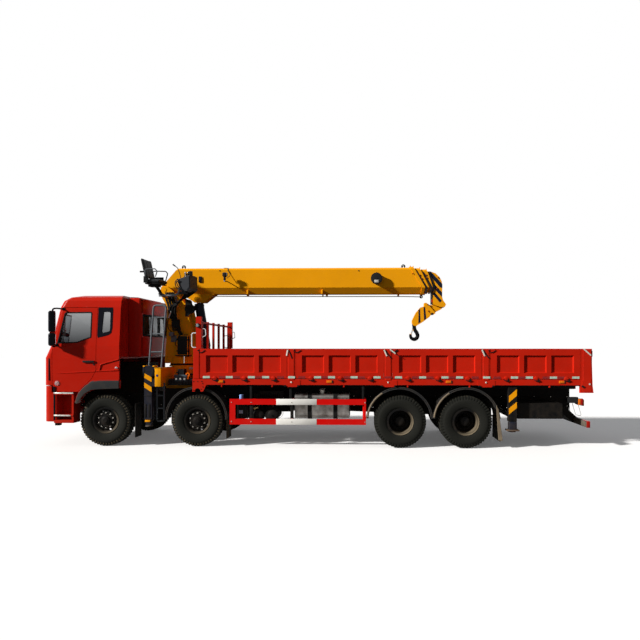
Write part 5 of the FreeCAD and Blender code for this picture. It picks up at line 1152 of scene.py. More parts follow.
stops.append(side_strap([(9.898, 1.292), (9.955, 1.262)], BED_Y - 0.006, 0.040, 0.012))
piece("post_covers", both(covers), bed_red, "truck")
BIG_BOLT = turned([(0, 0.019), (-0.003, 0.019), (-0.003, 0.015), (-0.013, 0.015), (-0.015, 0.012),
                   (-0.015, 0.0)], (0, 0, 0), sides=6)
piece("shoe_bolts", both([repeat(BIG_BOLT, shoe_bolts)]), lever_steel, "truck", crisp=25)
piece("post_stops", both(stops), black_steel, "truck")
tabs = [block((x - 0.014, -1.228, 1.256), (x + 0.014, -1.180, 1.308), 0.005)
        for x in (2.488, 3.547, 5.038, 6.354, 7.624, 9.254)]
piece("lashing_tabs", both(tabs), bed_red, "truck")
bracket_bolts = [(x, -1.234, z) for x, z in ((1.905, 1.370), (1.990, 1.372), (2.072, 1.374),
                                             (2.096, 1.330), (1.903, 1.190), (2.062, 1.210),
                                             (2.100, 1.260))]
piece("bracket_bolts", both([repeat(BOLT, bracket_bolts)]), black_steel, "truck", crisp=25)
tail_latches = [block((10.098, -1.240, 1.892), (10.116, -1.190, 2.012), 0.005)]
piece("tailgate_latches", both(tail_latches), black_steel, "truck")

# ------------------------------------------------------------------ marker lamps and reflecting tape
# Amber marker lamps in black bezels along the rail, and dashes of prismatic tape stuck along the gates
# and posts, white and dark red in turn.
SIDE_LAMP_X = (2.419, 4.680, 7.136, 9.436)
amber_lamps = [block((x, BED_Y - 0.014, 1.346), (x + 0.112, BED_Y + 0.002, 1.398), 0.010, 3)
               for x in SIDE_LAMP_X]
piece("side_marker_lamps", both(amber_lamps), lens_amber, "truck")
bezels = [block((x + 0.102, BED_Y - 0.012, 1.342), (x + 0.130, BED_Y + 0.002, 1.400), 0.006)
          for x in SIDE_LAMP_X]
piece("side_marker_bezels", both(bezels), black_abs, "truck")


def tape(name, dark, light):
    """Prismatic tape: two shades in cells of about 5 mm under a clear face."""
    finish, tree, shader = material(name, Roughness=0.28, Specular_IOR_Level=0.3)
    place = add(tree, "TexCoord").outputs["Object"]
    cells = add(tree, "TexVoronoi", {"Vector": place, "Scale": 200.0})
    broad = add(tree, "TexNoise", {"Vector": place, "Scale": 22.0, "Detail": 4.0})
    both_patterns = add(tree, "Math", {0: cells.outputs["Distance"], 1: 0.5, 2: broad.outputs["Fac"]},
                        operation="MULTIPLY_ADD")
    tone = ramp(tree, both_patterns.outputs[0], dark, light, 0.35, 0.95)
    tree.links.new(tone, shader.inputs["Base Color"])
    return finish


white_tape = tape("white_prismatic_tape", "#7E9A8B", "#B9CDBD")
red_tape = tape("red_prismatic_tape", "#6B0606", "#8A0C08")
DASH_LENGTH, TAPE_LOW, TAPE_HIGH = 0.145, 1.440, 1.486
WHITE_DASHES = ((0.062, 0.542, 1.006, 1.302), (0.378, 0.668, 1.135, 1.609), (0.044, 0.539, 0.999, 1.297),
                (0.414, 0.712, 1.204, 1.655))
RED_DASHES = ((0.398, 0.694, 1.158, 1.614), (0.049, 0.524, 0.990, 1.284), (0.398, 0.689, 1.153, 1.616),
              (0.056, 0.569, 1.054, 1.359))


def dashes(starts, flip):
    """Thin strips of tape along the lower edge of the bed's side."""
    strips = [block((x, BED_Y - 0.0012, TAPE_LOW), (x + DASH_LENGTH, BED_Y + 0.001, TAPE_HIGH), 0.0008, 1)
              for x in starts]
    return flipped(strips, flip)


for number, start in enumerate(gate_starts, 1):
    for side, flip in SIDES:
        body = f"gate_{number}_{side}"
        white, red = start + np.array(WHITE_DASHES[number - 1]), start + np.array(RED_DASHES[number - 1])
        piece(f"{body}_white_tape", dashes(white, flip), white_tape, body)
        piece(f"{body}_red_tape", dashes(red, flip), red_tape, body)
post_dash = plate([(0.0, TAPE_LOW), (DASH_LENGTH, TAPE_LOW), (DASH_LENGTH, TAPE_HIGH), (0.0, TAPE_HIGH)],
                  "y", BED_Y - 0.0105, BED_Y - 0.008, 0.0008)
white_posts = [repeat(post_dash, [(x, 0, 0) for x in (3.880, 7.895)])]
red_posts = [repeat(post_dash, [(5.879, 0, 0)])]
piece("post_white_tape", both(white_posts), white_tape, "truck")
piece("post_red_tape", both(red_posts), red_tape, "truck")

# ------------------------------------------------------------------ bed floor
# Ribbed steel sheet, its paint worn to brown along the ribs where loads are dragged over it.
floor_steel = enamel("worn_floor_steel", "#5A3A30", grime="#85796A", height=2.2, dirt=0.7, Roughness=0.6)
ribs = [plate([(y - 0.045, 1.430), (y - 0.035, 1.438), (y + 0.035, 1.438), (y + 0.045, 1.430)], "x",
              2.000, 10.050, 0.001) for y in np.linspace(-1.05, 1.05, 11)]
ribs.append(plate([(-1.178, 1.4285), (1.178, 1.4285), (1.178, 1.4325), (-1.178, 1.4325)], "x", 1.995,
                  10.055, 0.001))
piece("floor_ribs", ribs, floor_steel, "truck")

# ------------------------------------------------------------------ rear lamps, plate and bar
# Lamp clusters behind the last cross beam, the blank number plate in its tubular frame, and the
# underrun bar's dusty face with red tape on its end.
rear_lenses = [block((10.018, y - 0.19, 0.880), (10.030, y + 0.19, 0.980), 0.005) for y in (-0.84, 0.84)]
piece("rear_lamp_lenses", rear_lenses, lens_red, "truck")
end_lenses = [block((9.992, -1.052, 0.872), (10.020, -1.036, 0.988), 0.005),
              block((10.0295, -0.90, 0.885), (10.033, -0.78, 0.975), 0.0015)]
piece("rear_turn_lenses", both(end_lenses), lens_amber, "truck")
lamp_boxes = [block((9.700, -1.060, 0.925), (9.900, -0.975, 1.050), 0.010, 3),
              block((9.890, -1.056, 0.885), (10.000, -0.975, 1.016), 0.006)]
piece("rear_lamp_boxes", both(lamp_boxes), black_abs, "truck")
end_reds = [block((9.945, -1.064, 0.882), (9.992, -1.050, 1.020), 0.005)]
piece("rear_lamp_end_lenses", both(end_reds), lens_red, "truck")
piece("rear_lamp_end_turn_lenses", both([block((9.896, -1.062, 0.884), (9.946, -1.050, 1.012), 0.005)]),
      lens_amber, "truck")
holder = [tube(bent([(9.835, -0.900, 0.905), (9.905, -0.900, 0.665), (10.025, -0.900, 0.640),
                     (9.950, -0.900, 0.905)], 0.02), 0.008, 8)]
piece("rear_bracket_frames", both(holder), bright, "truck")
bar_dust = enamel("dusty_bar_enamel", "#4E4842", grime="#8A7D68", height=0.8, dirt=0.9, Roughness=0.8)
bar_faces = [block((10.029, -1.147, 0.434), (10.036, -0.465, 0.552), 0.002)]
piece("underrun_bar_faces", both(bar_faces), bar_dust, "truck")
bar_tape = [block((10.030, -1.1535, 0.428), (10.104, -1.1475, 0.559), 0.002),
            block((10.045, -1.145, 0.554), (10.104, -0.860, 0.560), 0.002)]
piece("underrun_bar_red_tape", both(bar_tape), lens_red, "truck")
post_lip = [plate([(10.098, 2.050), (10.120, 1.300), (10.140, 1.150), (10.050, 1.150), (10.090, 1.300)],
                  "y", -1.2375, -1.190, 0.003)]
piece("rear_post_lips", both(post_lip), bed_red, "truck")
plate_frame = [tube(bent([(9.990, -0.30, 0.870), (10.002, -0.34, 0.560), (10.010, -0.02, 0.545),
                          (9.998, 0.02, 0.865)], 0.03), 0.007, 8)]
piece("rear_plate_frame", plate_frame, aluminium, "truck")
piece("rear_plate", [plate([(-0.145, 0.652), (0.145, 0.652), (0.145, 0.768), (-0.145, 0.768)], "x",
                           10.003, 10.008)], plate_white, "truck")

# ------------------------------------------------------------------ ladders and lever console
# Grey-sprayed tube ladders with worn rungs; below them the crane's black lever console with its gauges.
ladder_grey = enamel("ladder_enamel", "#63686D", grime="#6B6154", height=1.4, dirt=0.35, Roughness=0.45)
LADDER_Y, LOW_LADDER_Y = -1.000, -1.055
LADDER_BAR, LADDER_RUNG = 0.0195, 0.0160
upper_ladder = bent([(1.060, LADDER_Y, 1.661), (0.865, LADDER_Y, 1.661), (0.967, LADDER_Y, 2.977),
                     (1.237, LADDER_Y, 2.977), (1.135, LADDER_Y, 1.653)], 0.060)
ladder_forms = [tube(upper_ladder, LADDER_BAR, 12)]
for z in (1.985, 2.370, 2.720):
    x = 0.865 + 0.102 * (z - 1.661) / 1.316
    ladder_forms.append(tube([(x, LADDER_Y, z), (x + 0.270, LADDER_Y, z)], LADDER_RUNG, 10))
ladder_forms.append(tube(bent([(1.057, LOW_LADDER_Y, 1.250), (1.057, LOW_LADDER_Y, 0.520),
                               (1.212, LOW_LADDER_Y, 0.520), (1.212, LOW_LADDER_Y, 1.332)], 0.045),
                         LADDER_BAR, 12))
ladder_forms += [tube([(1.057, LOW_LADDER_Y, z), (1.212, LOW_LADDER_Y, z)], LADDER_RUNG, 10)
                 for z in (0.790, 1.060, 1.225)]
ladder_forms += [block((x - 0.032, -1.028, 1.6435), (x + 0.032, -0.972, 1.656), 0.003)
                 for x in (1.040, 1.137)]
piece("ladders", ladder_forms, ladder_grey, "truck")
VALVE_PITCH = 0.066
console_black = enamel("console_enamel", "#1D1F22", grime="#6A5F50", height=1.8, dirt=0.35, Roughness=0.4)
console = [block((1.248, -0.932, 1.270), (1.792, -0.498, 1.402), 0.008)]
console += [block((1.262 + VALVE_PITCH * i, -0.944, 1.290), (1.302 + VALVE_PITCH * i, -0.930, 1.384),
                  0.005) for i in range(8)]
console += [solid([(-0.930, 0.017), (-0.962, 0.017), (-0.964, 0.013)],
                  (1.282 + VALVE_PITCH * i, 0, 1.312), sides=6) for i in range(8)]
piece("console_valve_block", console, console_black, "truck")
gauge_blue = enamel("gauge_box_enamel", "#4A565E", height=1.0, dirt=0.2, Roughness=0.5)
GAUGE_X, GAUGE_Z = (1.432, 1.520, 1.608), 1.406
gauge_box = [block((1.387, -0.948, 1.357), (1.653, -0.857, 1.491), 0.010)]
gauge_box += [solid([(-0.945, 0.026), (-0.958, 0.026), (-0.958, 0.022), (-0.952, 0.022)], (x, 0, GAUGE_Z),
                    sides=28) for x in GAUGE_X]
gauge_box += [block((1.380, -0.952, 1.440), (1.660, -0.850, 1.494), 0.012, 3)]
piece("console_gauge_box", gauge_box, gauge_blue, "truck")
lever_forms = []
for x in (1.560, 1.600, 1.640, 1.680, 1.720):
    lever_forms.append(tube([(x, -0.700, 1.390), (x, -0.700, 1.496)], 0.0100, 8))
    lever_forms.append(turned([(1.468, 0.0), (1.468, 0.011), (1.482, 0.019), (1.498, 0.020),
                               (1.512, 0.014), (1.516, 0.0)], (x, -0.700, 0), axis="z", sides=14))
piece("console_levers", lever_forms, black_abs, "truck")
gauge_dials = [disc(-0.9515, -0.9535, 0.021, (x, 0, GAUGE_Z), sides=28) for x in GAUGE_X]
piece("console_gauge_dials", gauge_dials, aluminium, "truck")
lever_cover = [block((1.420, -0.840, 1.400), (1.560, -0.660, 1.612), 0.012, 3),
               block((1.400, -0.860, 1.520), (1.440, -0.640, 1.560), 0.008)]
piece("console_lever_cover", lever_cover, black_abs, "truck")

# ------------------------------------------------------------------ stabiliser legs
# Square steel tubes with bolted top caps, warning stripes sprayed on the outer faces and dished feet.
stripe_yellow = enamel("stripe_enamel", "#EC9A08", height=1.0, dirt=0.3, vary=0.05)
plug_blue = enamel("plug_plastic", "#1C2E66", height=1.0, dirt=0.2, vary=0.05)


def slanted(x_low, x_high, z_rear, z_front, tall, y):
    """A stripe over a flat side: a parallelogram, tall high, whose top runs from one height to another."""
    return plate([(x_low, z_rear), (x_low, z_rear - tall), (x_high, z_front - tall), (x_high, z_front)],
                 "y", y - 0.0012, y + 0.001, 0.0006)


for side, flip in SIDES:
    body = f"outrigger_beam_{side}"
    stripes = [slanted(0.863, 1.019, 1.546, 1.458, 0.100, -1.233),
               slanted(0.863, 1.019, 1.350, 1.250, 0.104, -1.233)]
    stripes += [block((x - 0.024, -1.246, 1.672), (x + 0.024, -1.078, 1.700), 0.010, 3)
                for x in (0.862, 1.066)]
    stripes.append(block((0.880, -1.2362, 0.524), (0.990, -1.2325, 0.566), 0.0015))
    piece(f"leg_stripes_{side}", flipped(stripes, flip), stripe_yellow, body)
    fittings = [repeat(BOLT, [(x, -1.240, z) for x in (0.868, 1.056) for z in (1.612, 1.660)])]
    fittings += [block((0.834, -1.2395, 1.478), (0.868, -1.120, 1.600), 0.010),
                 block((1.022, -1.2470, 1.478), (1.086, -1.120, 1.600), 0.010)]
    fittings += [block((0.858, -1.2375, 0.566), (1.024, -1.0805, 0.590), 0.004),
                 block((0.858, -1.2375, 1.060), (1.024, -1.0805, 1.075), 0.003)]
    fittings += [block((x, -1.2400, 0.616), (x + 0.040, -1.2325, 0.895), 0.003) for x in (0.871, 0.951)]
    piece(f"leg_fittings_{side}", flipped(fittings, flip), black_steel, body)
    end_plates = [block((1.088, -1.2440, 1.262), (1.206, -1.092, 1.648), 0.008),
                  block((1.200, -1.2480, 1.262), (1.216, -1.092, 1.656), 0.005),
                  block((1.080, -1.2500, 1.640), (1.216, -1.092, 1.656), 0.005)]
    piece(f"beam_end_plates_{side}", flipped(end_plates, flip), crane_yellow, body)
    dot = solid([(-1.242, 0.026), (-1.2465, 0.024)], (1.140, 0, 1.493), sides=24)
    piece(f"beam_plug_{side}", flipped([dot], flip), plug_blue, body)
stripes = [slanted(8.425, 8.585, 1.085, 1.225, 0.135, -1.233),
           slanted(8.425, 8.585, 0.830, 0.965, 0.125, -1.233)]
piece("rear_leg_stripes", both(stripes), stripe_yellow, "truck")
foot_steel = enamel("scraped_foot_steel", "#4A4541", grime="#7A5B40", height=0.9, dirt=1.0, vary=0.25,
                    Roughness=0.7)
for side, flip in SIDES:
    shell = [block((8.437, -1.2365, 0.392), (8.588, -1.081, 0.556), 0.008)]
    piece(f"rear_leg_shell_{side}", flipped(shell, flip), navy, f"rear_leg_{side}")
    sole = [block((8.385, -1.250, 0.362), (8.637, -1.060, 0.392), 0.006)]
    piece(f"rear_leg_sole_{side}", flipped(sole, flip), foot_steel, f"rear_leg_{side}")
for body, x, z in (("outrigger_leg", 0.941, 0.422), ("rear_leg", 8.505, 0.342)):
    dish = [(z - 0.002, 0.0), (z - 0.002, 0.066), (z + 0.004, 0.077), (z + 0.014, 0.079),
            (z + 0.028, 0.072), (z + 0.034, 0.052), (z + 0.034, 0.0)]
    for side, y in (("left", -1.159), ("right", 1.159)):
        gussets = [block((x - 0.062, y - 0.005, z + 0.020), (x + 0.062, y + 0.005, z + 0.062), 0.003),
                   block((x - 0.005, y - 0.062, z + 0.020), (x + 0.005, y + 0.062, z + 0.062), 0.003)]
        piece(f"{body}_foot_{side}", [turned(dish, (x, y, 0), axis="z", sides=36)] + gussets, foot_steel,
              f"{body}_{side}")

# ------------------------------------------------------------------ crane base fittings
# Cast ring teeth under the turntable, welded frames at the outrigger box's mouths, an amber eye, a
# blank name plate, a greasing pipe and the box-shaped foot of the column.
# painted shade: a black block on the far rail's inner side that closes the view behind the lower ladder
piece("far_rail_shade_block", [block((0.400, 0.310, 1.036), (0.900, 0.430, 1.180), 0.010)], black_steel,
      "truck")
piece("turntable_ring_teeth", [hoop(1.676, 1.714, 0.334, 0.343, (1.300, 0, 0), axis="z", sides=96)],
      cast_iron, "truck", crisp=25)
mouths = [block((1.001, -1.084, z_low - 0.020), (1.199, -1.068, z_low + 0.006), 0.003)
          for z_low in (1.267, 1.467)]
mouths += [block((1.001, -1.084, z_high - 0.006), (1.199, -1.068, z_high + 0.020), 0.003)
           for z_high in (1.427, 1.627)]
mouths += [block((x, -1.084, 1.250), (x + 0.022, -1.068, 1.644), 0.003) for x in (1.001, 1.177)]
piece("outrigger_mouth_frames", both(mouths), crane_yellow, "truck")
eye_plate = [hoop(-0.926, -0.940, 0.020, 0.044, (1.674, 0, 1.500), sides=28),
             block((1.655, -0.938, 1.395), (1.693, -0.926, 1.470), 0.004)]
piece("console_eye", eye_plate, lens_amber, "truck")
plates = [block((1.527, -0.4345, 1.590), (1.635, -0.4295, 1.640), 0.0015)]
piece("base_blank_plates", plates, plate_white, "truck")
# the greasing pipe takes the bright chromed finish as a painted highlight
grease_pipe = [tube([(1.391, -0.362, 1.728), (1.391, -0.362, 1.884)], 0.012, 10),
               disc(1.728, 1.744, 0.020, (1.391, -0.362, 0), axis="z", sides=6)]
piece("base_grease_pipe", grease_pipe, bright, "column")
foot_plates = [block((0.958, -0.262, 1.724), (1.600, 0.262, 1.884), 0.006),
               block((0.950, -0.270, 1.868), (1.606, 0.270, 1.888), 0.005)]
piece("column_foot", foot_plates, crane_yellow, "column")

# ------------------------------------------------------------------ winch, oil tank and valves on the column
# Black-sprayed winch on its bracket, a rounded oil tank, a valve block under its hose bundle and a grey
# junction box.
winch_black = enamel("winch_enamel", "#0F1011", grime="#4B4033", height=1.0, dirt=0.2, Roughness=0.45)
bracket_grey = enamel("bracket_enamel", "#6A6C70", height=1.0, dirt=0.2, Roughness=0.45)
DRUM = [(-0.2535, 0.0), (-0.2535, 0.104), (-0.245, 0.104), (-0.240, 0.092), (-0.150, 0.092),
        (-0.145, 0.104), (-0.1325, 0.104), (-0.1325, 0.0)]
MOTOR = [(-0.2535, 0.0), (-0.2535, 0.040), (-0.246, 0.062), (-0.160, 0.062), (-0.148, 0.050),
         (-0.1475, 0.0)]
winch = [turned(DRUM, (1.466, 0, 2.960), sides=40), turned(MOTOR, (1.440, 0, 3.110), sides=28)]
winch += [disc(-0.2525, -0.268, 0.018, (1.466, 0, 2.960), sides=6)]
winch += [tube(bent([(1.440, -0.256, 3.135), (1.440, -0.300, 3.160), (1.350, -0.300, 3.190)], 0.03),
               0.012)]
piece("winch", winch, winch_black, "column")
bracket = [plate([(1.380, 2.785), (1.443, 2.785), (1.525, 2.888), (1.525, 3.042), (1.484, 3.165),
                  (1.380, 3.165)], "y", -0.2665, -0.2625, 0.002)]
bracket += [side_strap([(1.512, 3.104), (1.548, 3.018), (1.560, 2.931)], -0.250, 0.022, 0.014),
            side_strap([(1.400, 2.990), (1.545, 2.990)], -0.266, 0.018, 0.008)]
piece("winch_bracket", bracket, black_steel, "column")
oil_tank = [block((1.223, -0.374, 1.905), (1.479, -0.244, 2.354), 0.030, 4),
            block((1.213, -0.360, 2.335), (1.437, -0.250, 2.372), 0.016, 3)]
oil_tank += [solid([(2.350, 0.038), (2.392, 0.038), (2.400, 0.030)], (1.300, -0.310, 0), axis="z",
                   sides=24)]
oil_tank += [block((1.219, -0.378, z), (1.483, -0.244, z + 0.030), 0.004) for z in (1.985, 2.235)]
oil_tank += [block((1.190, -0.372, 1.890), (1.520, -0.244, 1.916), 0.008)]
piece("oil_tank", oil_tank, winch_black, "column")
valve_block = [block((1.090, -0.324, 2.545), (1.256, -0.243, 2.715), 0.008)]
valve_block += [block((1.084, -0.330, 2.556 + 0.040 * i), (1.262, -0.318, 2.580 + 0.040 * i), 0.004)
                for i in range(4)]
piece("column_valve_block", valve_block, winch_black, "column")
grey_box = [block((1.050, -0.266, 2.206), (1.190, -0.2485, 2.354), 0.006),
            block((1.028, -0.330, 2.336), (1.128, -0.249, 2.430), 0.010)]
piece("column_junction_box", grey_box, bracket_grey, "column")

# ------------------------------------------------------------------ hydraulic hoses on the column
# Wire-braided rubber hoses clipped in one bundle from the seat's console, under the boom's foot and down
# to the valve block, and a control cable in its loop.
hose_paths = []
for i in range(9):
    spread, y = 0.026 * (i - 4), -0.300 - 0.022 * (i % 3)
    hose_paths.append([(1.520 + 0.024 * i, -0.600 + 0.03 * (i % 2), 3.300),
                       (1.470 + 0.5 * spread, -0.540, 3.190), (1.330 + spread, -0.420, 3.130 + spread),
                       (1.150 + spread, y - 0.03, 3.040 + 0.5 * spread),
                       (1.100 + 0.7 * spread, y - 0.02, 2.900), (1.130 + 0.8 * spread, y - 0.01, 2.760),
                       (1.170 + 0.6 * spread, y, 2.690)])
for i in range(7):
    spread, y = 0.030 * i, -0.318 - 0.020 * (i % 2)
    hose_paths.append([(0.930 + spread, -0.225, 3.360), (0.950 + spread, y, 3.210),
                       (1.000 + spread, y - 0.01, 3.060), (1.040 + 0.8 * spread, y - 0.01, 2.880),
                       (1.110 + 0.55 * spread, y, 2.700)])
for i in range(3):
    hose_paths.append([(1.190 + 0.02 * i, -0.318, 2.570), (1.230 + 0.03 * i, -0.345, 2.520),
                       (1.235 + 0.03 * i, -0.350, 2.460), (1.280 + 0.03 * i, -0.335, 2.380)])
hose_paths += [[(1.150 + dx, -0.330, 2.556), (1.170 + dx, -0.338, 2.500), (1.130 + dx, -0.330, 2.470),
                (1.110 + dx, -0.322, 2.560)] for dx in (0.0, 0.05)]
piece("column_hoses", [tube(flowing(p), 0.0155, 10) for p in hose_paths], hose_rubber, "column")
cables = [[(1.070, -0.336, 2.890), (1.036, -0.345, 2.780), (1.008, -0.342, 2.660), (1.006, -0.340, 2.560),
           (1.045, -0.338, 2.480), (1.080, -0.300, 2.428)],
          [(1.300, -0.376, 2.350), (1.220, -0.385, 2.240), (1.200, -0.385, 2.150),
           (1.240, -0.380, 2.105)]]
piece("column_cables", [tube(flowing(p), 0.009, 8) for p in cables], hose_rubber, "column")
sleeve = tube([(1.097, -0.372, 2.890), (1.040, -0.378, 2.745)], 0.016, 10)
piece("cable_end_sleeve", [sleeve], plate_white, "column")
carrier_grey = enamel("carrier_enamel", "#90959A", height=1.0, dirt=0.2, Roughness=0.4)
covers = [tube([(0.985, -0.256, 3.200), (0.985, -0.600, 3.2225)], 0.0262, 14),
          tube(bent([(0.935, -0.640, 3.225), (1.345, -0.640, 3.226), (1.425, -0.680, 3.400)], 0.10),
               0.0262, 14), tube([(1.202, -0.262, 3.013), (1.297, -0.628, 3.213)], 0.0190, 12)]
piece("station_carrier_tube", covers, carrier_grey, "column")

# ------------------------------------------------------------------ operator's seat
# A black vinyl seat turned a little outwards on its post, with tubular arm rests; pan and back are sewn
# covers over moulded foam on a black steel frame.
vinyl, tree, shader = material("black_seat_vinyl", Roughness=0.5, Specular_IOR_Level=0.1)
place = add(tree, "TexCoord").outputs["Object"]
# the grain's cells are 6 mm across, coarse enough to show
grain = add(tree, "TexVoronoi", {"Vector": place, "Scale": 160.0})
worn = add(tree, "TexNoise", {"Vector": place, "Scale": 9.0, "Detail": 5.0})
tree.links.new(ramp(tree, worn.outputs["Fac"], "#0C0D0F", "#181A1D"), shader.inputs["Base Color"])
relieve(tree, shader, grain.outputs["Distance"], 0.3, 0.001)
SEAT = np.array([0.900, -0.750, 0.0])
SEAT_TURN = -3
seat_pan = cushion((0.752, -0.955, 3.466), (1.072, -0.545, 3.560), 2, crown=0.28,
                   channels=(-0.5, 0.0, 0.5))
seat_back = tilt(cushion((0.748, -0.955, 3.575), (0.812, -0.545, 4.000), 0, crown=0.22,
                         channels=(-0.45, 0.45)), np.array([0.780, -0.750, 3.575]), -13)
for name, form in (("pan", seat_pan), ("back", seat_back)):
    pad = piece(f"operator_seat_{name}", [turn_about(form, SEAT, SEAT_TURN)], vinyl, "column",
                crisp=70)
seat_frame = [block((0.758, -0.945, 3.444), (1.064, -0.555, 3.470), 0.006),
              block((0.742, -0.985, 3.466), (0.850, -0.962, 3.610), 0.010, 3),
              block((0.742, -0.538, 3.466), (0.980, -0.516, 3.640), 0.012, 3),
              block((0.770, -0.830, 3.400), (0.980, -0.650, 3.448), 0.008)]
seat_frame = [turn_about(form, SEAT, SEAT_TURN) for form in seat_frame]
seat_frame.append(tube(flowing([(0.985, -0.650, 3.245), (0.945, -0.680, 3.345), (0.895, -0.705, 3.420),
                                (0.860, -0.715, 3.445)]), 0.033, 14))
seat_frame.append(block((0.935, -0.700, 3.247), (1.035, -0.600, 3.264), 0.004))
post = piece("operator_seat_frame", seat_frame, black_steel, "column")
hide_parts("operator_station")
arms = [tube(bent([(0.775, -0.985, 3.585), (0.775, -0.985, 3.752), (0.985, -0.985, 3.762),
                   (1.032, -0.985, 3.705), (0.995, -0.985, 3.590)], 0.035), 0.0115, 10),
        tube(bent([(0.520, -0.515, 3.768), (0.850, -0.515, 3.778), (1.035, -0.515, 3.772),
                   (1.076, -0.515, 3.722), (1.030, -0.515, 3.560)], 0.035), 0.0115, 10)]
piece("operator_arm_rests", arms, ladder_grey, "column")
arm_pads = [tube([(0.455, -0.515, 3.770), (0.540, -0.515, 3.770)], 0.019, 12)]
piece("operator_arm_pads", arm_pads, black_abs, "column")

# ------------------------------------------------------------------ operator's console
# Folded sheet housing with a sloping desk, black lever gaiters and a long lever with a ball.
def ball(middle, radius):
    """The profile of a ball about an offset."""
    turn = np.linspace(0, math.pi, 9)
    return np.stack([middle - radius * np.cos(turn), radius * np.sin(turn)], -1)


CONSOLE = np.array([1.570, -0.715, 0.0])
CONSOLE_TURN = -3
desk = plate([(1.430, 3.492), (1.424, 3.548), (1.706, 3.648), (1.712, 3.352), (1.648, 3.286),
              (1.508, 3.300)], "y", -0.868, -0.440, 0.012)
console_box = [desk, block((1.405, -0.700, 3.247), (1.560, -0.600, 3.312), 0.006)]
console_box.append(plate([(1.448, 3.480), (1.444, 3.530), (1.690, 3.616), (1.694, 3.380), (1.640, 3.318),
                          (1.520, 3.328)], "y", -0.874, -0.866, 0.003))
piece("operator_console", [turn_about(form, CONSOLE, CONSOLE_TURN) for form in console_box], station_grey,
      "column")
gaiters, balls = [], []
for x in (1.575, 1.645):
    z = 3.548 + (x - 1.424) * 0.355
    profile = [(z - 0.004, 0.0), (z - 0.004, 0.026), (z + 0.008, 0.024), (z + 0.014, 0.017),
               (z + 0.022, 0.018), (z + 0.030, 0.010), (z + 0.060, 0.007), (z + 0.060, 0.0)]
    for y in (-0.810, -0.740, -0.670, -0.600):
        gaiters.append(turned(profile, (x, y, 0), axis="z", sides=18))
        balls.append(turned(ball(z + 0.074, 0.019), (x, y, 0), axis="z", sides=18))
gaiters.append(solid([(3.63, 0.048), (3.72, 0.046), (3.732, 0.036)], (1.690, -0.790, 0), axis="z",
                     sides=26))
gaiters.append(tube(flowing([(1.480, -0.780, 3.560), (1.440, -0.780, 3.700), (1.400, -0.780, 3.800),
                             (1.335, -0.780, 3.856)]), 0.008, 10))
gaiters.append(tube([(1.342, -0.780, 3.850), (1.292, -0.780, 3.886)], 0.014, 12))
gaiters += [tube(flowing([(1.450 + d, -0.882, 3.560 - d), (1.400 + 0.5 * d, -0.905, 3.490),
                          (1.420 + d, -0.900, 3.380), (1.520 + 0.6 * d, -0.880, 3.310)]), 0.010, 8)
            for d in (0.0, 0.055)]
piece("console_gaiters", [turn_about(form, CONSOLE, CONSOLE_TURN) for form in gaiters], black_abs,
      "column")
piece("console_balls", [turn_about(form, CONSOLE, CONSOLE_TURN) for form in balls], black_abs, "column")
white_ball = turned(ball(3.690, 0.020), (1.600, -0.860, 0), axis="z", sides=20)
piece("console_white_ball", [white_ball, tube([(1.600, -0.860, 3.600), (1.600, -0.860, 3.675)], 0.006)],
      plate_white, "column")

# ------------------------------------------------------------------ boom trims
# Cable reel with its cover, work lamp on a bar, rope guides with hard bushes, shackles through the eyes and
# small bolts in the collars; all are bolted on.
REEL_X, REEL_Z, BOOM_SIDE = 5.720, 3.630, -0.200
reel_cover = [solid([(-0.196, 0.121), (-0.320, 0.124), (-0.334, 0.118), (-0.340, 0.104)],
                    (REEL_X, 0, REEL_Z), sides=48)]
reel_cover += [solid([(-0.338, 0.030), (-0.352, 0.026)], (REEL_X, 0, REEL_Z), sides=20)]
reel_cover += [hoop(-0.322, -0.308, 0.124, 0.129, (REEL_X, 0, REEL_Z), sides=48)]
piece("cable_reel", reel_cover, black_abs, "boom")
piece("cable_reel_plate", [block((5.672, -0.345, 3.532), (5.766, -0.338, 3.592), 0.003)], plate_white,
      "boom")
lamp_body = [block((2.262, -0.410, 3.668), (2.364, -0.320, 3.764), 0.030, 4),
             block((2.284, -0.385, 3.590), (2.334, -0.345, 3.672), 0.010),
             tube(bent([(2.310, -0.362, 3.600), (2.290, -0.362, 3.580), (2.330, -0.205, 3.580)], 0.03),
                  0.012)]
lamp_body.append(tube(flowing([(2.332, -0.160, 3.894), (2.340, -0.212, 3.840), (2.392, -0.215, 3.730),
                               (2.336, -0.300, 3.640)]), 0.006, 6))
lamp_body += [solid([(-0.198, 0.014), (-0.210, 0.012)], (x, 0, z), sides=12)
              for x, z in ((2.150, 3.829), (5.315, 3.819))]
lamp_body += [block((2.218, -0.110, 3.888), (2.300, -0.060, 3.908), 0.005),
              block((1.668, -0.226, 3.560), (1.742, -0.198, 3.700), 0.014, 3)]
piece("boom_lamp", lamp_body, black_abs, "boom")
lamp_glass = [block((2.352, -0.402, 3.676), (2.370, -0.328, 3.756), 0.012, 3),
              block((2.288, -0.392, 3.556), (2.330, -0.352, 3.588), 0.010)]
piece("boom_lamp_glass", lamp_glass, lens_clear, "boom")
guide = [block((2.726, -0.034, 3.268), (2.774, 0.034, 3.310), 0.006),
         block((2.742, -0.034, 3.262), (2.760, 0.034, 3.300), 0.004)]
guide += [block((x, -0.205, 3.292), (x + 0.036, -0.110, 3.390), 0.006) for x in (2.768, 4.470)]
guide.append(block((4.474, -0.020, 3.262), (4.502, 0.020, 3.320), 0.006))
guide += [tube([(x, -0.165, 3.896), (x, -0.165, 3.930)], 0.006, 6) for x in (6.480, 6.490)]
piece("rope_guide", guide, crane_yellow, "boom")
eyes = [hoop(-0.030, 0.030, 0.014, 0.036, (6.745, 0, 3.242), sides=28),
        block((6.728, -0.026, 3.258), (6.762, 0.026, 3.312), 0.005)]
piece("rope_eye", eyes, cast_iron, "boom")


SHACKLE_Y = -0.100


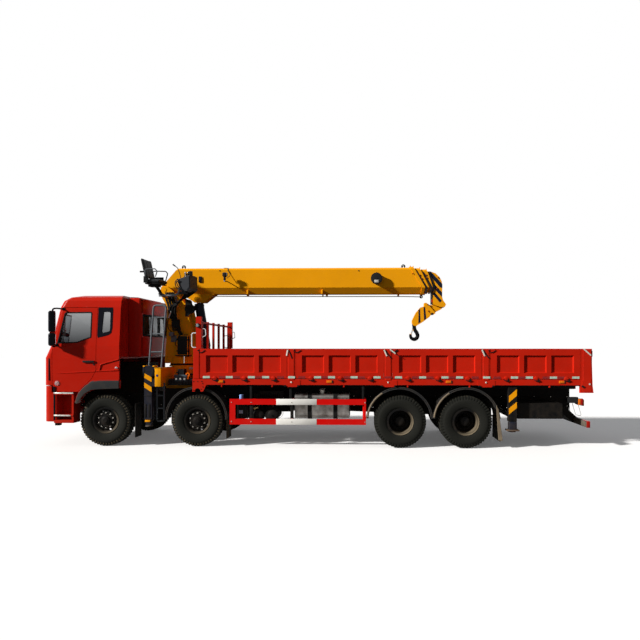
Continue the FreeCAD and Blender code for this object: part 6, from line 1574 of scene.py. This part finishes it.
def bow(x, z, width, height, start, end, radius, steps):
    """A bent bar along the boom: an arc of an ellipse, from one angle to another in half turns."""
    turn = np.linspace(start * math.pi, end * math.pi, steps)
    path = np.stack([x + width * np.cos(turn), SHACKLE_Y + 0 * turn, z + height * np.sin(turn)], -1)
    return tube(path, radius, 8)


shackles = [bow(x, 3.900, 0.030, 1.15 * 0.030, -0.3, 1.3, 0.010, 15) for x in (1.292, 6.334)]
rings = [bow(x, 3.924, 0.038, 0.038, -0.25, 1.25, 0.0105, 25) for x in (1.290, 6.330)]
piece("lifting_shackles", shackles + rings, cast_iron, "boom")
rust = enamel("rusty_bolt_iron", "#7A3412", height=5.0, dirt=0.3, vary=0.2, Roughness=0.8)
collar_bolts = [("boom", [(6.540, BOOM_SIDE - 0.018, 3.744)]),
                ("boom_2", [(6.703, -0.189, 3.711), (6.748, -0.189, 3.633)]),
                ("boom_3", [(6.845, -0.163, 3.716), (6.862, -0.163, 3.658)]),
                ("boom_4", [(7.122, -0.122, 3.664), (7.095, -0.122, 3.420)])]
for body, places in collar_bolts:
    piece(f"{body}_bolts", both([repeat(BIG_BOLT, places)]), rust, body, crisp=25)
rope_steel, tree, shader = material("galvanised_wire_rope", Metallic=0.8, Roughness=0.5)
place = add(tree, "TexCoord").outputs["Object"]
# the strands cross the rope's side about every 16 mm
lay = add(tree, "TexWave", {"Vector": place, "Scale": 20.0, "Distortion": 0.3},
          bands_direction="DIAGONAL")
tree.links.new(ramp(tree, lay.outputs["Fac"], "#3A3A36", "#8E8C82"), shader.inputs["Base Color"])
winch_rope = tube(flowing([(1.740, 0, 3.268), (2.750, 0, 3.262), (4.580, 0, 3.254), (6.220, 0, 3.250),
                           (6.745, 0, 3.240)], 4), 0.0095, 10)
piece("winch_rope", [winch_rope], rope_steel, "boom")
# black plates behind each collar's edge: part wear-pad seal, part painted shade between the sections
collar_seals_and_shade = {"boom": ([(6.592, 3.812), (6.830, 3.438), (6.806, 3.300)], -0.1925),
                 "boom_2": ([(6.752, 3.786), (6.940, 3.450), (6.918, 3.325)], -0.1665),
                 "boom_3": ([(6.893, 3.770), (6.996, 3.455), (6.980, 3.350)], -0.1400)}
for body, (edge, y) in collar_seals_and_shade.items():
    edge = np.array(edge)
    outline = np.concatenate([edge, edge[::-1] + (0.040, 0.0)])
    piece(f"{body}_wiper_and_shade", both([plate(outline, "y", y - 0.002, y + 0.004, 0.001)]), black_abs, body)
edge_tabs = [("boom", 6.556, 3.905, 0.168), ("boom_2", 6.706, 3.880, 0.150),
             ("boom_3", 6.855, 3.845, 0.125)]
for body, x, z, y in edge_tabs:
    tabs = [tube([(x - 0.006, -y * 0.6, z - 0.020), (x, -y * 0.6, z + 0.030)], 0.008, 8)]
    piece(f"{body}_grease_tabs", both(tabs), crane_yellow, body)

# ------------------------------------------------------------------ boom head and hook
# Navy warning bands sprayed over the head and the hook block, the wear strip under the head, and the
# forged hook with its spring latch.
band_navy = enamel("band_enamel", "#161C2B", height=1.0, dirt=0.1, vary=0.05)


def side_patch(outline, y):
    """A sprayed patch as a thin plate on a flat side; its outline is in millimetres."""
    return plate([(x / 1000, z / 1000) for x, z in outline], "y", y - 0.0014, y + 0.001, 0.0005)


head_bands = [side_patch([(6886, 3790), (6935, 3804), (6960, 3796), (7212, 3522), (7212, 3424),
                          (7158, 3447), (6925, 3727)], -0.122),
              side_patch([(7022, 3530), (7060, 3490), (7209, 3326), (7209, 3218), (7030, 3412),
                          (7020, 3455)], -0.122),
              side_patch([(7004, 3326), (7046, 3324), (7206, 3140), (7158, 3098), (7004, 3280)], -0.122)]
piece("head_bands", both(head_bands), band_navy, "boom_4")
hook_bands = [side_patch([(6677, 2926), (6711, 2968), (6723, 2660), (6674, 2624)], -0.088),
              side_patch([(6790, 3006), (6826, 2998), (6853, 2739), (6803, 2694)], -0.088)]
piece("hook_bands", both(hook_bands), band_navy, "hook")
strip = [block((6.962, -0.104, 3.070), (6.998, 0.104, 3.345), 0.005)]
piece("head_wear_strip", strip, black_abs, "boom_4")
piece("head_red_stop", [block((6.966, -0.108, 3.105), (7.004, -0.060, 3.170), 0.006)], lens_red, "boom_4")
block_bolts = [(6.905, -0.100, 2.905), (6.890, -0.100, 3.055)]
piece("hook_block_bolts", both([repeat(BIG_BOLT, block_bolts)]), rust, "hook", crisp=25)
roller = [disc(-0.106, 0.106, 0.024, (6.984, 0, 2.850), sides=24)]
piece("hook_block_roller", roller, cast_iron, "hook")
hook_black = enamel("forged_hook_enamel", "#0F1012", grime="#3B342C", height=1.0, dirt=0.3,
                    Roughness=0.35)
bowl = arc(6.582, 2.352, 0.082, 0, 158, 392, 40)
neck = flowing([(6.587, 0, 2.605), (6.587, 0, 2.535), (6.605, 0, 2.475), (6.640, 0, 2.425), bowl[-1]], 6)
hook_path = np.concatenate([neck[:-1], bowl[::-1]])
thick = np.concatenate([np.full(len(neck) - 1, 0.044),
                        np.interp(np.linspace(0, 1, 40), (0, 0.5, 0.8, 1), (0.044, 0.043, 0.034, 0.029))])
piece("hook_forging", [tube(hook_path, thick, 18),
                       tube([(6.587, 0, 2.575), (6.587, 0, 2.612)], 0.050, 20)], hook_black, "hook")
latch = [side_strap([(6.560, 2.560), (6.548, 2.490), (6.528, 2.428), (6.520, 2.395)], 0.012, 0.030,
                    0.024)]
piece("hook_latch", latch, plate_white, "hook")

# ------------------------------------------------------------------ lift cylinder fittings
# Gland nut, port blocks and the steel pipe that feeds the cylinder's rod end.
foot, head = np.array([1.800, 0, 1.960]), np.array([1.590, 0, 3.190])
reach = np.linalg.norm(head - foot)
ahead = (head - foot) / reach


def on_cylinder(distance, y=0.0):
    """A point this far along the lift cylinder from its foot, and this far across."""
    return foot + ahead * distance + np.array([0, y, 0])


fittings = [tube([on_cylinder(0.130), on_cylinder(0.150), on_cylinder(reach - 0.110),
                  on_cylinder(reach - 0.095)], np.array([0.098, 0.102, 0.102, 0.098]), 40),
            tube([on_cylinder(reach - 0.170), on_cylinder(reach - 0.125)], 0.1105, 40)]
fittings += [tube(bent([on_cylinder(0.200, -0.100), on_cylinder(0.220, -0.132),
                        on_cylinder(reach - 0.260, -0.132), on_cylinder(reach - 0.235, -0.100)], 0.03),
                  0.011, 10)]
fittings += [tube([on_cylinder(d - 0.022, -0.118), on_cylinder(d + 0.022, -0.118)], 0.022, 10)
             for d in (0.205, reach - 0.235)]
piece("lift_cylinder_fittings", fittings, navy, "lift_barrel")

# ------------------------------------------------------------------ header rack fittings
# Round reversing lamp on the post and two bright grab handles.
rack_lamp = [solid([(-1.232, 0.046), (-1.262, 0.044), (-1.270, 0.034)], (1.995, 0, 2.540), sides=28)]
piece("rack_lamp", both(rack_lamp), black_abs, "truck")
piece("rack_lamp_glass", both([turned([(-1.268, 0.0), (-1.268, 0.034), (-1.276, 0.026), (-1.278, 0.0)],
                                      (1.995, 0, 2.540), sides=28)]), lens_clear, "truck")
grabs = [tube(bent([(1.954, -1.200, 2.384), (1.850, -1.200, 2.384), (1.850, -1.200, 2.080),
                    (1.954, -1.200, 2.080)], 0.05), 0.011, 10),
         tube(bent([(2.062, -1.170, 2.480), (2.128, -1.170, 2.465), (2.138, -1.170, 2.330),
                    (2.062, -1.170, 2.300)], 0.03), 0.010, 10)]
piece("rack_grab_handles", both(grabs), bright, "truck")
